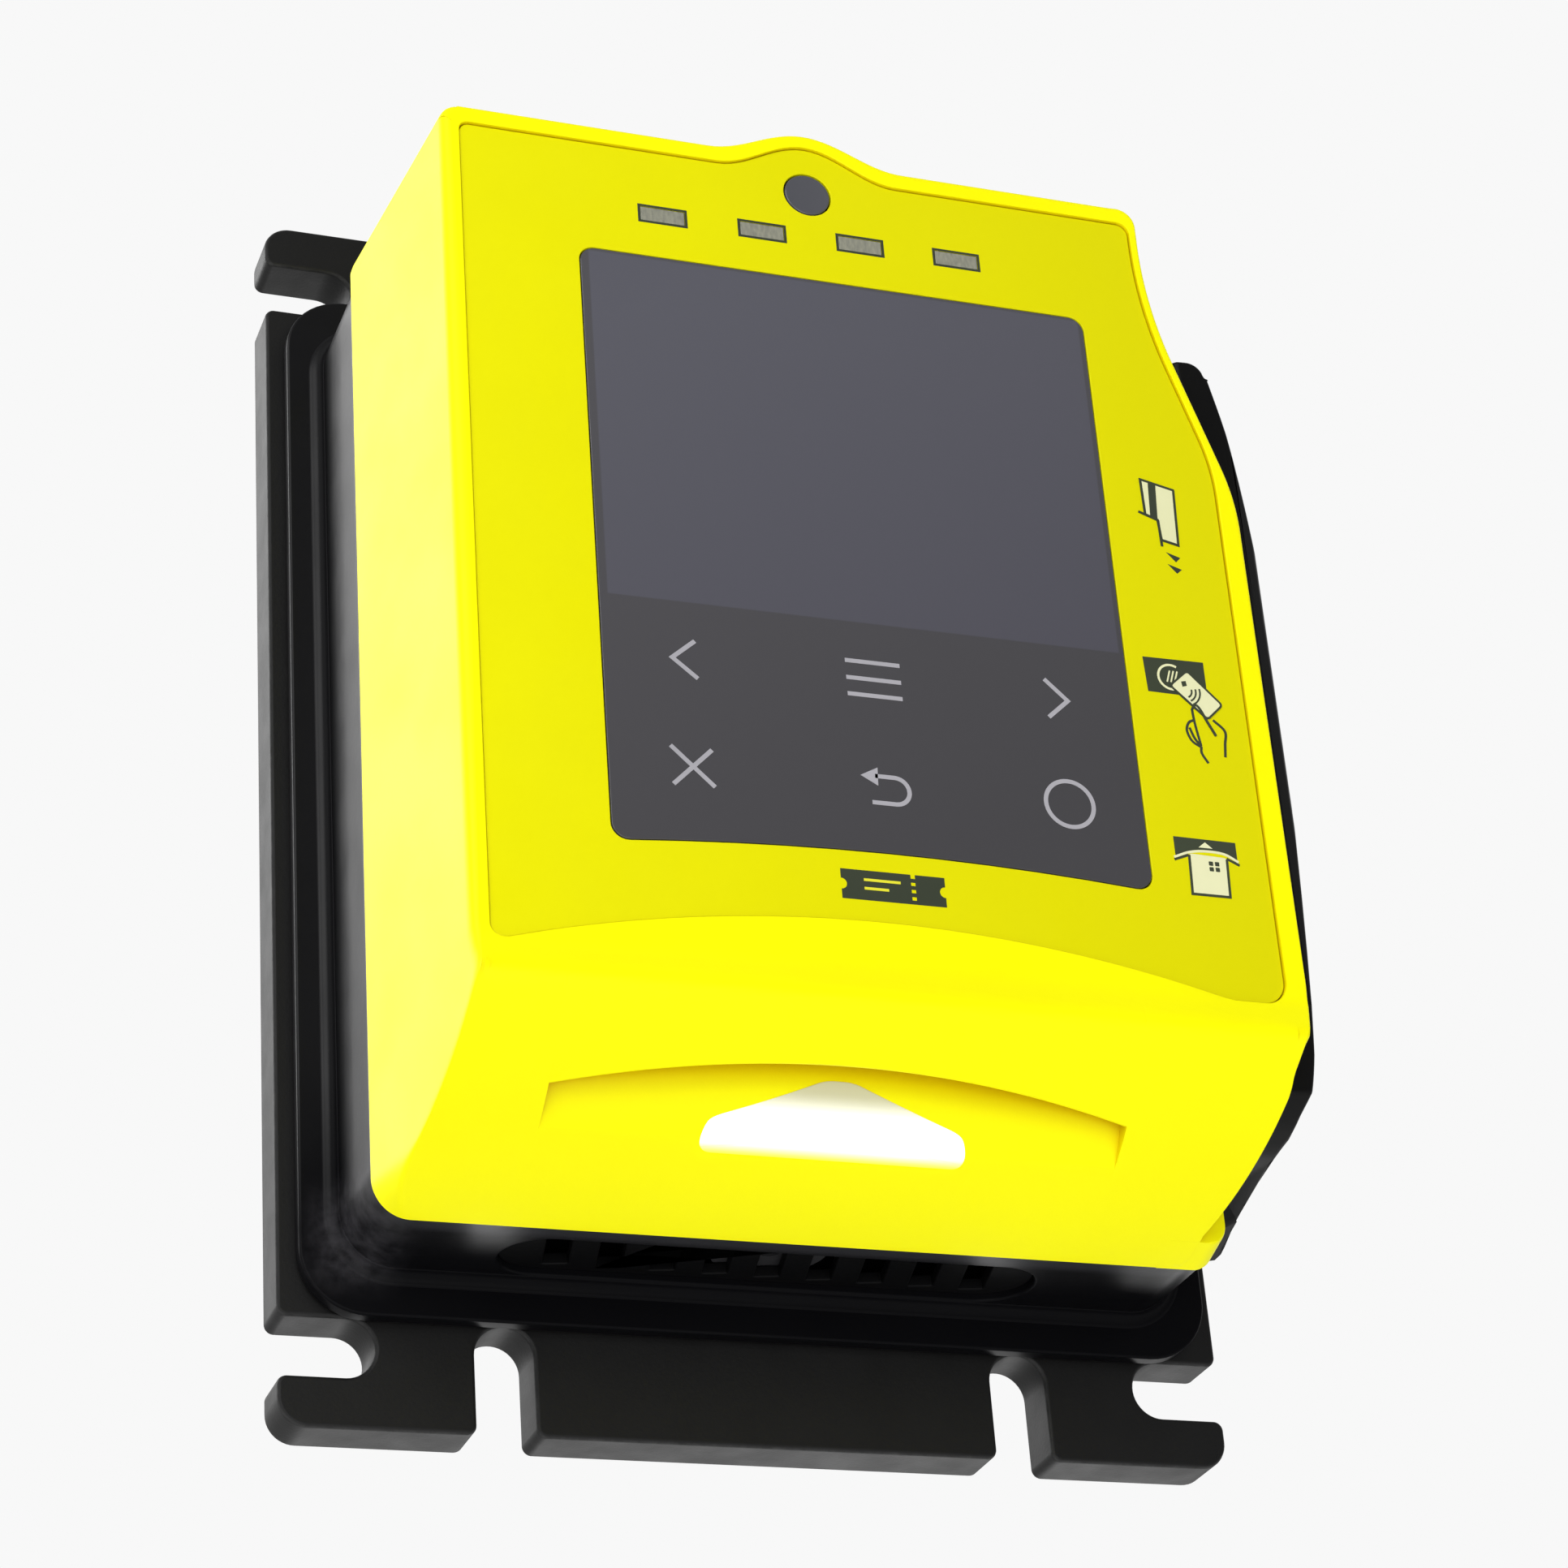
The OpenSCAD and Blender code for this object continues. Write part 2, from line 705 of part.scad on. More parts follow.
module arrow_led_board() {
    color("#174a2a") intersection() {
        floor_round(floor_r - floor_t - touch, 14);
        rod_x(chin_c[0], chin_c[1], chin_r - wall - touch, -hw, hw);
        translate([card_x - 14, floor_c[0], floor_c[1]]) rotate([chin_lean - 7, 0, 0])
            translate([0, -floor_r, -6]) cube([28, floor_t * 1.9, 10]);
    }
}

module tray_standoffs() {
    color("#c9ccd0") for (sx = [-1, 1], sz = [-1, 1])
        difference() {
            rod_y(lit_x + sx * 30, lit_z + sz * 22, 2.6, tray_back, board_y);
            rod_y(lit_x + sx * 30, lit_z + sz * 22, board_screw_r + touch, board_y - 6, board_y + over);
        }
}

module reader_corners() {
    for (sx = [-1, 1], z = [reader_low + 4, reader_top - 4])
        translate([card_x + sx * (reader_w / 2 - 4), 0, z]) children();
}

module main_board() {
    color("#174a2a") difference() {
        block([-hw + 8, board_y, reader_low], [hw - 12.7, board_y + board_t, hh - 9]);
        for (sx = [-1, 1], sz = [-1, 1])
            rod_y(lit_x + sx * 30, lit_z + sz * 22, board_screw_r + 0.2, board_y - over, board_y + 2 * board_t);
        reader_corners() rod_y(0, 0, board_screw_r + 0.2, board_y - over, board_y + 2 * board_t);
    }
}

module processor_shield() {
    color("#c2c5c8") block([-30, board_y + board_t, lit_z - 14.5],
        [0, board_y + board_t + 3, lit_z + 13.5]);
}

module board_parts() {
    y0 = board_y + board_t;
    color("#26262a") {
        block([6, y0, 30], [20, y0 + 1.4, 44]);
        block([6, y0, 8], [16, y0 + 4.2, 26]);
        block([22, y0, 12], [28, y0 + 2.4, 40]);
        block([-38, y0, -20], [-34, y0 + 3, 4]);
        rod_y(10, -10, 5, y0, y0 + 3.4);
        block([-12, y0, -40], [6, y0 + 2, -24]);
    }
}

module board_screws() {
    y0 = board_y + board_t;
    color("#9a9da2") {
        for (sx = [-1, 1], sz = [-1, 1])
            translate([lit_x + sx * 30, 0, lit_z + sz * 22]) board_screw(y0);
        reader_corners() board_screw(y0);
    }
}

module board_screw(y0) {
    rod_y(0, 0, 2.2, y0, y0 + 1.6);
    rod_y(0, 0, board_screw_r, y0 - board_t - 3.6, y0);
}

module reader_front_plate() {
    color("#3c3c42") block([card_x - reader_w / 2, slot_front - front_plate_t, reader_low],
        [card_x + reader_w / 2, slot_front, reader_top]);
}

module reader_guides() {
    inner = card_w / 2 + card_gap;
    color("#55555c") {
        for (s = [-1, 1])
            block([card_x + (s > 0 ? inner : -reader_w / 2), slot_front, reader_low],
                [card_x + (s > 0 ? reader_w / 2 : -inner), slot_back, reader_top]);
        block([card_x - inner, slot_front, reader_top - 1.5], [card_x + inner, slot_back, reader_top]);
    }
}

module reader_back_plate() {
    color("#3c3c42") difference() {
        union() {
            block([card_x - reader_w / 2, slot_back, reader_low],
                [card_x + reader_w / 2, back_plate_y, reader_top]);
            reader_corners() rod_y(0, 0, reader_post_r, slot_back + 1, board_y);
            for (s = [-1, 1])
                lever_ear(s);
        }
        block([card_x - carriage_w / 2 - carriage_play, slot_back - over, carriage_z - carriage_h / 2 - 0.6],
            [card_x + carriage_w / 2 + carriage_play, back_plate_y + over,
            carriage_z + carriage_h / 2 + carriage_travel + 0.6]);
        block([lever_x - 1.2, slot_back - over, lever_z - 2.4], [lever_x + 1.2, back_plate_y + over, lever_z + 3]);
        reader_corners() rod_y(0, 0, board_screw_r + touch, board_y - 4, board_y + over);
        rod_x(lever_y, lever_z, hinge_r + 0.02, lever_x - 5, lever_x + 5);
    }
}

module lever_ear(s) {
    x0 = s > 0 ? lever_x + 1.2 : lever_x - 2.8;
    block([x0, back_plate_y - 0.2, lever_z - 2], [x0 + 1.6, lever_y + 1.6, lever_z + 2]);
}

module reader_housing() {
    color("#2e2e33") difference() {
        block([card_x - housing_w / 2, back_plate_y, carriage_z - carriage_h / 2 - 4],
            [card_x + housing_w / 2, housing_back, carriage_z + carriage_h / 2 + 9]);
        block([card_x - housing_w / 2 + housing_wall, back_plate_y - over, carriage_z - carriage_h / 2 - 2],
            [card_x + housing_w / 2 - housing_wall, housing_back - housing_wall, carriage_z + carriage_h / 2 + 7.6]);
    }
}

module contact_carriage() {
    color("#e6e2d8") {
        block([card_x - carriage_w / 2, slot_back + 0.2, carriage_z - carriage_h / 2],
            [card_x + carriage_w / 2, back_plate_y + 0.3, carriage_z + carriage_h / 2]);
        block([card_x - carriage_w / 2 - 2.6, back_plate_y + 0.3, carriage_z - carriage_h / 2 - 1],
            [card_x + carriage_w / 2 + 2.6, back_plate_y + 2.3, carriage_z + carriage_h / 2]);
    }
}

module contact_leaves() {
    color("#d9b24a") for (sx = [-1, 1], i = [0:3])
        translate([card_x + sx * 3.8, slot_back + 0.2, carriage_z - 3.81 + 2.54 * i])
            rotate([0, 90, 0]) translate([0, 0, -1.2]) intersection() {
                cylinder(r = 0.6, h = 2.4);
                translate([-1, -1, 0]) cube([2, 1, 2.4]);
            }
}

// Compression spring drawn as closed coils, each joined to the next on alternate sides
module coil_spring(coils, pitch, coil_r, wire_r) {
    for (i = [0:coils - 1])
        translate([0, 0, wire_r + i * pitch]) {
            rotate_extrude() translate([coil_r, 0]) circle(wire_r);
            if (i < coils - 1)
                translate([(i % 2 == 0 ? 1 : -1) * coil_r, 0, 0]) cylinder(r = wire_r * 0.9, h = pitch);
        }
}

module carriage_springs() {
    color("#b8bbc0") for (s = [-1, 1])
        translate([card_x + s * 8, back_plate_y + 1.4, carriage_z + carriage_h / 2])
            coil_spring(6, 1.4, 0.85, 0.25);
}

module card_lever() {
    color("#d8d4c8") difference() {
        union() {
            rod_x(lever_y, lever_z, 1.7, lever_x - 0.9, lever_x + 0.9);
            block([lever_x - 0.9, slot_front + 0.3, lever_z - 0.7], [lever_x + 0.9, lever_y, lever_z + 0.7]);
        }
        rod_x(lever_y, lever_z, hinge_r + touch, lever_x - 2, lever_x + 2);
    }
}

module lever_pin() {
    color("#c9ccd0") rod_x(lever_y, lever_z, hinge_r, lever_x - 2.8, lever_x + 2.8);
}

module card_switch() {
    color("#17171a") block([lever_x + 2.9, back_plate_y, lever_z - 3],
        [lever_x + 5.9, back_plate_y + 3, lever_z + 3]);
}

// Plan section of the rail: its inner side stands parallel to the groove's inner wall
module rail_plan() {
    shift = groove_w / cos(groove_lean);
    inner = function (y) groove_foot + shift + groove_slope * (ledge_y - y);
    out = hw + rail_bulge;
    low_y = ledge_y - rail_clear;
    polygon([[inner(low_y), low_y], [inner(low_y - 9.4), low_y - 9.4],
        [inner(low_y - 9.4) + 1.6, -rail_front + 0.5], [out - 2.6, -rail_front], [out - 0.6, -rail_front + 0.7],
        [out, -rail_front + 2.3], [out - 0.4, -rail_front + 5.4], [out - 4.4, flange_y - 8.4],
        [out - 5.4, flange_y - 6.4], [rail_foot_x, flange_y - 5], [rail_foot_x, joint_y + 0.4],
        [hw + rail_clear, joint_y + 0.4], [hw + rail_clear, low_y]]);
}

// Front outline of the rail: a slow curve outside, rounded away under the chin
module rail_front_outline() {
    out = hw + rail_bulge;
    difference() {
        intersection() {
            union() {
                intersection() {
                    translate([out - rail_upper_r, rail_z]) circle(rail_upper_r, $fn = 720);
                    square_at([0, rail_z], [2 * hw, rail_top]);
                }
                intersection() {
                    translate([out - rail_lower_r, rail_z]) circle(rail_lower_r, $fn = 720);
                    square_at([0, -hh], [2 * hw, rail_z]);
                }
            }
            union() {
                square_at([0, rail_corner_c[1]], [2 * hw, hh]);
                translate(rail_corner_c) circle(rail_corner_r, $fn = 90);
                square_at([0, -hh], [rail_corner_c[0], hh]);
            }
        }
        corner_cut(out - 4.6, rail_top, 2.4, 1, 1);
    }
}

module swipe_rail() {
    color("#1b1b1e") difference() {
        intersection() {
            translate([0, 0, -hh]) linear_extrude(2 * hh) rail_plan();
            front_slab(0, face_depth) rail_front_outline();
            side_slab(0, 2 * hw) union() {
                translate(rail_end_c) circle(rail_end_r, $fn = 180);
                square_at([-face_depth, -hh + 26], [0, hh]);
            }
        }
        for (z = rail_screw_z)
            rod_x(rail_screw_y, z, rail_screw_r + touch, hw - over, hw + 4.2);
    }
}

module rail_screws() {
    x0 = base_hw - wall;
    color("#9a9da2") for (z = rail_screw_z) {
        rod_x(rail_screw_y, z, 2.4, x0 - 1.8, x0);
        rod_x(rail_screw_y, z, rail_screw_r, x0, hw + 3.8);
    }
}

module magnetic_head() {
    nose_r = 9;
    color("#c8b27a") at_head() intersection() {
        translate([head_out - head_l, -head_w / 2, -head_h / 2]) cube([head_l, head_w, head_h]);
        translate([head_out - nose_r, head_w, 0]) rotate([90, 0, 0]) cylinder(r = nose_r, h = 2 * head_w, $fn = 120);
    }
}

module head_leaf_spring() {
    color("#c9ccd0") at_head() translate([head_out - head_l - leaf_t, -2, -bracket_half + 3.6])
        cube([leaf_t, 4, 2 * bracket_half - 7.2]);
}

module head_bracket() {
    color("#8e9196") at_head() difference() {
        translate([-bracket_in, -bracket_w / 2, -bracket_half])
            cube([bracket_in - wall, bracket_w, 2 * bracket_half]);
        translate([-bracket_in + bracket_t, -bracket_w, -bracket_half + 3])
            cube([bracket_in, 2 * bracket_w, 2 * bracket_half - 6]);
        for (s = [-1, 1])
            translate([-wall - 4, 0, s * (bracket_half - 1.5)]) rotate([0, 90, 0])
                cylinder(r = 0.8 + touch, h = 8);
    }
}

module bracket_screws() {
    color("#9a9da2") at_head() for (s = [-1, 1])
        translate([-wall - 3.6, 0, s * (bracket_half - 1.5)]) rotate([0, 90, 0]) cylinder(r = 0.8, h = 3.6);
}

module sounder() {
    color("#202024") difference() {
        translate([card_x, grille_y, -base_hh + wall]) cylinder(r = floor_y - grille_y - 0.1, h = 6);
        translate([card_x, grille_y, -base_hh + wall - over]) cylinder(r = 1.2, h = 2 * over);
    }
}

module port_board() {
    color("#174a2a") block([port_lo[0] - 4, port_board_y - port_board_t, port_lo[1] - 4],
        [port_hi[0] + 4, port_board_y, port_hi[1] + 4]);
}

module port_standoffs() {
    color("#c9ccd0") for (x = [port_lo[0] - 2, port_hi[0] + 2], z = [port_lo[1] - 2, port_hi[1] + 2])
        rod_y(x, z, 1.9, port_board_y, floor_y);
}

module data_jack() {
    color("#26262a") difference() {
        block([jack_lo[0], port_board_y, jack_lo[1]],
            [jack_lo[0] + jack_size[0], port_front, jack_lo[1] + jack_size[1]]);
        block([jack_lo[0] + jack_wall, port_board_y + jack_wall, jack_lo[1] + jack_wall + 1],
            [jack_lo[0] + jack_size[0] - jack_wall, port_front + over, jack_lo[1] + jack_size[1] - jack_wall - 1]);
    }
}

module power_terminal() {
    poles = 4;
    pitch = 3.8;
    color("#2f6b3c") difference() {
        block([-4, port_board_y, -40], [-4 + poles * pitch + 1, port_front, -31]);
        for (i = [0:poles - 1])
            rod_y(-4 + pitch * (i + 0.62), -35.5, 1.3, port_front - 7, port_front + over);
    }
}

module usb_port() {
    color("#b9bcc0") difference() {
        block([15.5, port_board_y, -38], [24.5, port_front, -34.8]);
        block([16, port_board_y + 2, -37.6], [24, port_front + over, -35.2]);
    }
}

module sim_board() {
    color("#174a2a") block([-bay_half - 3, floor_y - 1.6, bay_lo - 3], [bay_half + 3, floor_y, bay_hi + 3]);
}

module sim_sockets() {
    color("#b9bcc0") for (s = [-1, 1])
        block([s * 9 - 7, floor_y, bay_lo + 3], [s * 9 + 7, floor_y + 1.8, bay_hi - 3]);
}

module service_door() {
    color("#2a2a2d") difference() {
        union() {
            block([-door_half + door_gap, door_y - door_t, door_lo + door_gap],
                [door_half - door_gap, door_y, hinge_z]);
            rod_x(hinge_y, hinge_z, knuckle_r, -door_half + door_gap, door_half - door_gap);
        }
        rod_x(hinge_y, hinge_z, hinge_r + touch, -door_half, door_half);
    }
}

module door_pin() {
    color("#c9ccd0") rod_x(hinge_y, hinge_z, hinge_r, -door_half - 2.4, door_half + 2.4);
}

module cover_screws() {
    color("#9a9da2") for (sx = [-1, 1], z = boss_z) {
        rod_y(sx * boss_x, z, cover_head_r, cover_seat, cover_seat + cover_head_t);
        rod_y(sx * boss_x, z, cover_screw_r, cover_seat - cover_screw_l, cover_seat);
    }
}

module cover_inserts() {
    color("#c9a24a") for (sx = [-1, 1], z = boss_z)
        difference() {
            rod_y(sx * boss_x, z, insert_r, joint_y - insert_l - 1, joint_y - 1);
            rod_y(sx * boss_x, z, cover_screw_r + 0.02, joint_y - insert_l - 2, joint_y);
        }
}

module plate_screws() {
    color("#9a9da2") for (sx = [-1, 1], z = plate_screw_z)
        translate([sx * plate_screw_x, 0, z]) rotate([90, 0, 0]) {
            cylinder(r1 = plate_head_r, r2 = plate_screw_r, h = plate_head_t);
            cylinder(r = plate_screw_r, h = plate_screw_l);
        }
}

mounting_plate();
plate_gasket();
base_housing();
base_grille();
joint_seal();
front_cover();
face_panel();
window_pane();
status_windows();
sensor_lens();
antenna_board();
status_leds();
display_module();
display_tray();
touch_key_board();
arrow_light_guide();
arrow_led_board();
tray_standoffs();
main_board();
processor_shield();
board_parts();
board_screws();
reader_front_plate();
reader_guides();
reader_back_plate();
reader_housing();
contact_carriage();
contact_leaves();
carriage_springs();
card_lever();
lever_pin();
card_switch();
swipe_rail();
rail_screws();
magnetic_head();
head_leaf_spring();
head_bracket();
bracket_screws();
sounder();
port_board();
port_standoffs();
data_jack();
power_terminal();
usb_port();
sim_board();
sim_sockets();
service_door();
door_pin();
cover_screws();
cover_inserts();
plate_screws();
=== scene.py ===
"""Wall-mounted ticket validator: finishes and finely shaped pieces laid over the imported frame.

Lengths are written in millimetres, in the frame's own axes: x to the right, -y to the front, z up."""

import json
import math

import bmesh
import bpy
import numpy as np
from mathutils import Matrix, Vector


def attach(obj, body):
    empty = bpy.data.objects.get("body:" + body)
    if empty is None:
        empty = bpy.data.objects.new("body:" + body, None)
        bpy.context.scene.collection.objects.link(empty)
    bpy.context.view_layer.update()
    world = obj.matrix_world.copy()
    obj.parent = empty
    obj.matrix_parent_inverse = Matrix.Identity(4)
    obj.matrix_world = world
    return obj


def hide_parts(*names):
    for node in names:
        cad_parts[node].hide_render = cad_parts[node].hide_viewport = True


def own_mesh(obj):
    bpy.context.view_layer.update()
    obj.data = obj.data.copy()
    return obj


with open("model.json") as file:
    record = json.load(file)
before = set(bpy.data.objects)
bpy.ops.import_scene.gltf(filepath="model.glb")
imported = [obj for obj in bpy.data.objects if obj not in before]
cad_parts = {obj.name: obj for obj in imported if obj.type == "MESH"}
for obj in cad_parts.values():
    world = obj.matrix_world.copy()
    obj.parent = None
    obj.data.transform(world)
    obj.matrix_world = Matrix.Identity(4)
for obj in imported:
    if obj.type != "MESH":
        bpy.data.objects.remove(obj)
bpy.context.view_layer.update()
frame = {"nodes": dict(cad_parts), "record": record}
nodes = frame["nodes"]
MM = 0.001

# ---- sizes shared with the source of the solids ----
HALF_W, HALF_H = 52.7, 64.9  # body at the joint
FACE_Y, JOINT_Y = -51.8, -26.1
PANEL_Y = -51.4  # front of face panel and window
FLANGE_Y = -9.8
BASE_HALF_W, BASE_HALF_H, BASE_R = 52.6, 64.8, 6.5
CARD_X = -2.4
LIT_X, LIT_Z, LIT_W, LIT_H = 3.0, 28.5, 64.8, 48.6
LIP_C, CHIN_LEAN = np.array([-38.6, -60.1]), math.radians(49.0)
LED_X, LED_Z = (-19.5, -6.5, 6.5, 19.5), 59.6


def srgb(red, green, blue):
    """Linear colour of an 8-bit display colour."""
    c = np.array([red, green, blue], float) / 255.0
    lin = np.where(c <= 0.04045, c / 12.92, ((c + 0.055) / 1.055) ** 2.4)
    return (*lin.tolist(), 1.0)


def beside(*columns):
    """Points from their coordinates."""
    return np.column_stack(columns)


# ---- materials ----


class Finish:
    """A procedural material whose patterns read Object coordinates."""

    def __init__(self, name, metallic=0.0, specular=0.5, coat=0.0, coat_rough=0.1):
        self.name = name
        self.material = bpy.data.materials.new(name)
        self.material.use_nodes = True
        self.tree = self.material.node_tree
        self.tree.nodes.clear()
        self.out = self.node("ShaderNodeOutputMaterial")
        self.shader = self.node("ShaderNodeBsdfPrincipled")
        self.link(self.shader.outputs["BSDF"], self.out.inputs["Surface"])
        for socket, value in (
            ("Metallic", metallic),
            ("Specular IOR Level", specular),
            ("Coat Weight", coat),
            ("Coat Roughness", coat_rough),
            ("IOR", 1.5),
        ):
            self.shader.inputs[socket].default_value = value
        self.place = self.node("ShaderNodeTexCoord").outputs["Object"]

    def node(self, kind, **settings):
        made = self.tree.nodes.new(kind)
        for key, value in settings.items():
            setattr(made, key, value)
        return made

    def link(self, source, target):
        self.tree.links.new(source, target)

    def mapped(self, stretch=(1, 1, 1), turn=(0, 0, 0)):
        """Object coordinates in millimetres, stretched and turned."""
        mapping = self.node("ShaderNodeMapping")
        mapping.inputs["Scale"].default_value = [s / MM for s in stretch]
        mapping.inputs["Rotation"].default_value = turn
        self.link(self.place, mapping.inputs["Vector"])
        return mapping.outputs["Vector"]

    def noise(self, per_mm, detail=3.0, rough=0.55, stretch=(1, 1, 1)):
        made = self.node("ShaderNodeTexNoise")
        made.inputs["Scale"].default_value = per_mm
        made.inputs["Detail"].default_value = detail
        made.inputs["Roughness"].default_value = rough
        self.link(self.mapped(stretch), made.inputs["Vector"])
        return made.outputs["Fac"]

    def spread(self, source, low=0.0, high=1.0, lo_in=0.3, hi_in=0.7, smooth=False):
        made = self.node("ShaderNodeMapRange")
        if smooth:
            made.interpolation_type = "SMOOTHSTEP"
        for socket, value in (("From Min", lo_in), ("From Max", hi_in), ("To Min", low), ("To Max", high)):
            made.inputs[socket].default_value = value
        self.link(source, made.inputs["Value"])
        return made.outputs["Result"]

    def maths(self, operation, first, second=None):
        made = self.node("ShaderNodeMath", operation=operation)
        for slot_index, value in enumerate((first, second)):
            if value is None:
                continue
            if isinstance(value, (int, float)):
                made.inputs[slot_index].default_value = value
            else:
                self.link(value, made.inputs[slot_index])
        return made.outputs[0]

    def blend(self, factor, first, second):
        """Colour mix; each side is an 8-bit display colour or a socket."""
        made = self.node("ShaderNodeMix", data_type="RGBA")
        self.link(factor, made.inputs["Factor"])
        for index, value in ((6, first), (7, second)):
            if isinstance(value, tuple):
                made.inputs[index].default_value = srgb(*value)
            else:
                self.link(value, made.inputs[index])
        return made.outputs[2]

    def axis(self, name):
        """One Object coordinate in millimetres."""
        made = self.node("ShaderNodeSeparateXYZ")
        self.link(self.mapped(), made.inputs[0])
        return made.outputs[name]

    def inside(self, centre, half, soft=0.15):
        """1 inside a rectangle in x and z, 0 outside, with soft edges."""
        parts = []
        for name, c, h in (("X", centre[0], half[0]), ("Z", centre[1], half[1])):
            away = self.maths("ABSOLUTE", self.maths("SUBTRACT", self.axis(name), c))
            parts.append(self.spread(away, 1.0, 0.0, h - soft, h + soft, smooth=True))
        return self.times(*parts)

    def times(self, first, second):
        return self.maths("MULTIPLY", first, second)

    def colour(self, source):
        self.link(source, self.shader.inputs["Base Color"])

    def gloss(self, low, high, *noise):
        """Roughness that drifts between two values with a noise."""
        self.link(self.spread(self.noise(*noise), low, high), self.shader.inputs["Roughness"])

    def bumps(self, height, depth_mm):
        made = self.node("ShaderNodeBump")
        made.inputs["Distance"].default_value = depth_mm * MM
        self.link(height, made.inputs["Height"])
        self.link(made.outputs["Normal"], self.shader.inputs["Normal"])
        return self

    def glow(self, colour, strength):
        self.link(colour, self.shader.inputs["Emission Color"])
        self.link(strength, self.shader.inputs["Emission Strength"])


def plastic(name, light, dark, rough=(0.3, 0.42), grain=1.6, depth=0.01, specular=0.5):
    """Moulded plastic: slow colour drift, uneven gloss and a fine spark-eroded grain."""
    made = Finish(name, specular=specular)
    made.colour(made.blend(made.spread(made.noise(0.03, 2.0)), light, dark))
    made.gloss(*rough, 0.11, 4.0)
    return made.bumps(made.maths("ADD", made.noise(grain, 2.0), made.times(made.noise(0.4, 2.0), 0.4)), depth)


def metal(name, shade, rough=(0.22, 0.4), brushed=(1, 1, 14), depth=0.004):
    """Bare or plated metal with fine tooling marks along one axis."""
    made = Finish(name, metallic=1.0)
    marks = made.noise(0.5, 4.0, stretch=brushed)
    mix = made.blend(made.spread(marks), shade, shade)
    mix.node.inputs[7].default_value = (*(0.8 * c for c in srgb(*shade)[:3]), 1.0)
    made.colour(mix)
    made.gloss(*rough, 0.3, 3.0)
    return made.bumps(marks, depth)


# name, lighter and darker tone, then roughness, grain per mm, its depth in mm, specular level
PLASTICS = (
    ("key_print", (172, 170, 176), (158, 157, 163), (0.3, 0.42), 1.6, 0.002),
    ("dark_print", (62, 69, 52), (52, 58, 46), (0.3, 0.42), 1.6, 0.002, 0.3),
    ("cream_print", (236, 236, 190), (226, 226, 176), (0.3, 0.42), 1.6, 0.002),
    ("yellow_print", (236, 231, 60), (226, 221, 40), (0.3, 0.42), 1.6, 0.002),
    ("sensor_dark", (88, 88, 94), (74, 75, 81), (0.12, 0.22), 0.8, 0.003),
    ("grille_black", (8, 8, 9), (5, 5, 6), (0.5, 0.6), 0.9, 0.02, 0.08),
    ("rail_black", (11, 11, 11), (7, 7, 8), (0.32, 0.4), 1.0, 0.012, 0.16),
    ("rubber", (10, 10, 11), (6, 6, 7), (0.6, 0.8), 1.2, 0.03, 0.12),
    ("chip_resin", (36, 36, 38), (28, 28, 30), (0.5, 0.65), 1.5, 0.01),
    ("led_resin", (222, 220, 196), (206, 204, 180), (0.2, 0.3)),
    ("display_glass", (38, 38, 44), (30, 30, 36), (0.1, 0.2), 0.3, 0.001),
    ("reader_plastic", (56, 56, 62), (44, 44, 50), (0.4, 0.55)),
    ("carriage_plastic", (226, 222, 208), (212, 208, 194), (0.4, 0.5)),
    ("terminal_plastic", (52, 118, 66), (42, 100, 56), (0.35, 0.5)),
    ("jack_black", (40, 40, 43), (30, 30, 32), (0.35, 0.5)),
)
# name, tone, then roughness and stretch of the tooling marks
METALS = (
    ("bright_steel", (190, 193, 198)),
    ("screw_steel", (158, 161, 166), (0.28, 0.45), (6, 6, 1)),
    ("spring_steel", (176, 178, 182), (0.2, 0.3)),
    ("contact_gold", (222, 180, 84), (0.18, 0.3)),
    ("insert_brass", (200, 166, 88), (0.3, 0.4)),
    ("head_metal", (196, 186, 160), (0.18, 0.28)),
)


def cover_yellow():
    """Clear saturated plastic with a little grime, and painted shade: a deeper orange-yellow where surfaces
    stand close together, as under the slot's lip.
    """
    made = Finish("cover_yellow", specular=0.1)
    body = made.blend(made.spread(made.noise(0.02, 2.0)), (255, 251, 0), (252, 246, 0))
    grime = made.spread(made.noise(0.16, 5.0, 0.65), 0.0, 0.05, 0.55, 0.8)
    # painted shade: an occlusion mask darkens the colour to orange-yellow in hollows and under the lip
    near = made.node("ShaderNodeAmbientOcclusion", samples=12)
    near.inputs["Distance"].default_value = 4.5 * MM
    painted_hollow_shade = made.spread(near.outputs["AO"], 0.8, 0.0, 0.35, 0.92)
    made.colour(made.blend(painted_hollow_shade, made.blend(grime, body, (222, 210, 0)), (212, 172, 0)))
    made.gloss(0.4, 0.46, 0.07, 3.0)
    return made.bumps(made.noise(2.2, 2.0), 0.006)


def printed_foil():
    """Foil of the face panel: satin, a touch darker than the cover, with painted shade that darkens it more
    towards the right.
    """
    made = Finish("printed_foil", specular=0.1, coat=0.03, coat_rough=0.4)
    # painted shade: the panel grows darker from left to right, as if lit from the left
    painted_side_shade = made.spread(made.axis("X"), 0.0, 1.0, -45.0, 52.0)
    base = made.blend(painted_side_shade, (234, 230, 0), (220, 214, 0))
    made.colour(made.blend(made.spread(made.noise(0.05, 3.0), 0.0, 0.25), base, (220, 215, 0)))
    made.gloss(0.3, 0.42, 0.09, 3.0)
    return made.bumps(made.noise(1.2, 3.0), 0.004)


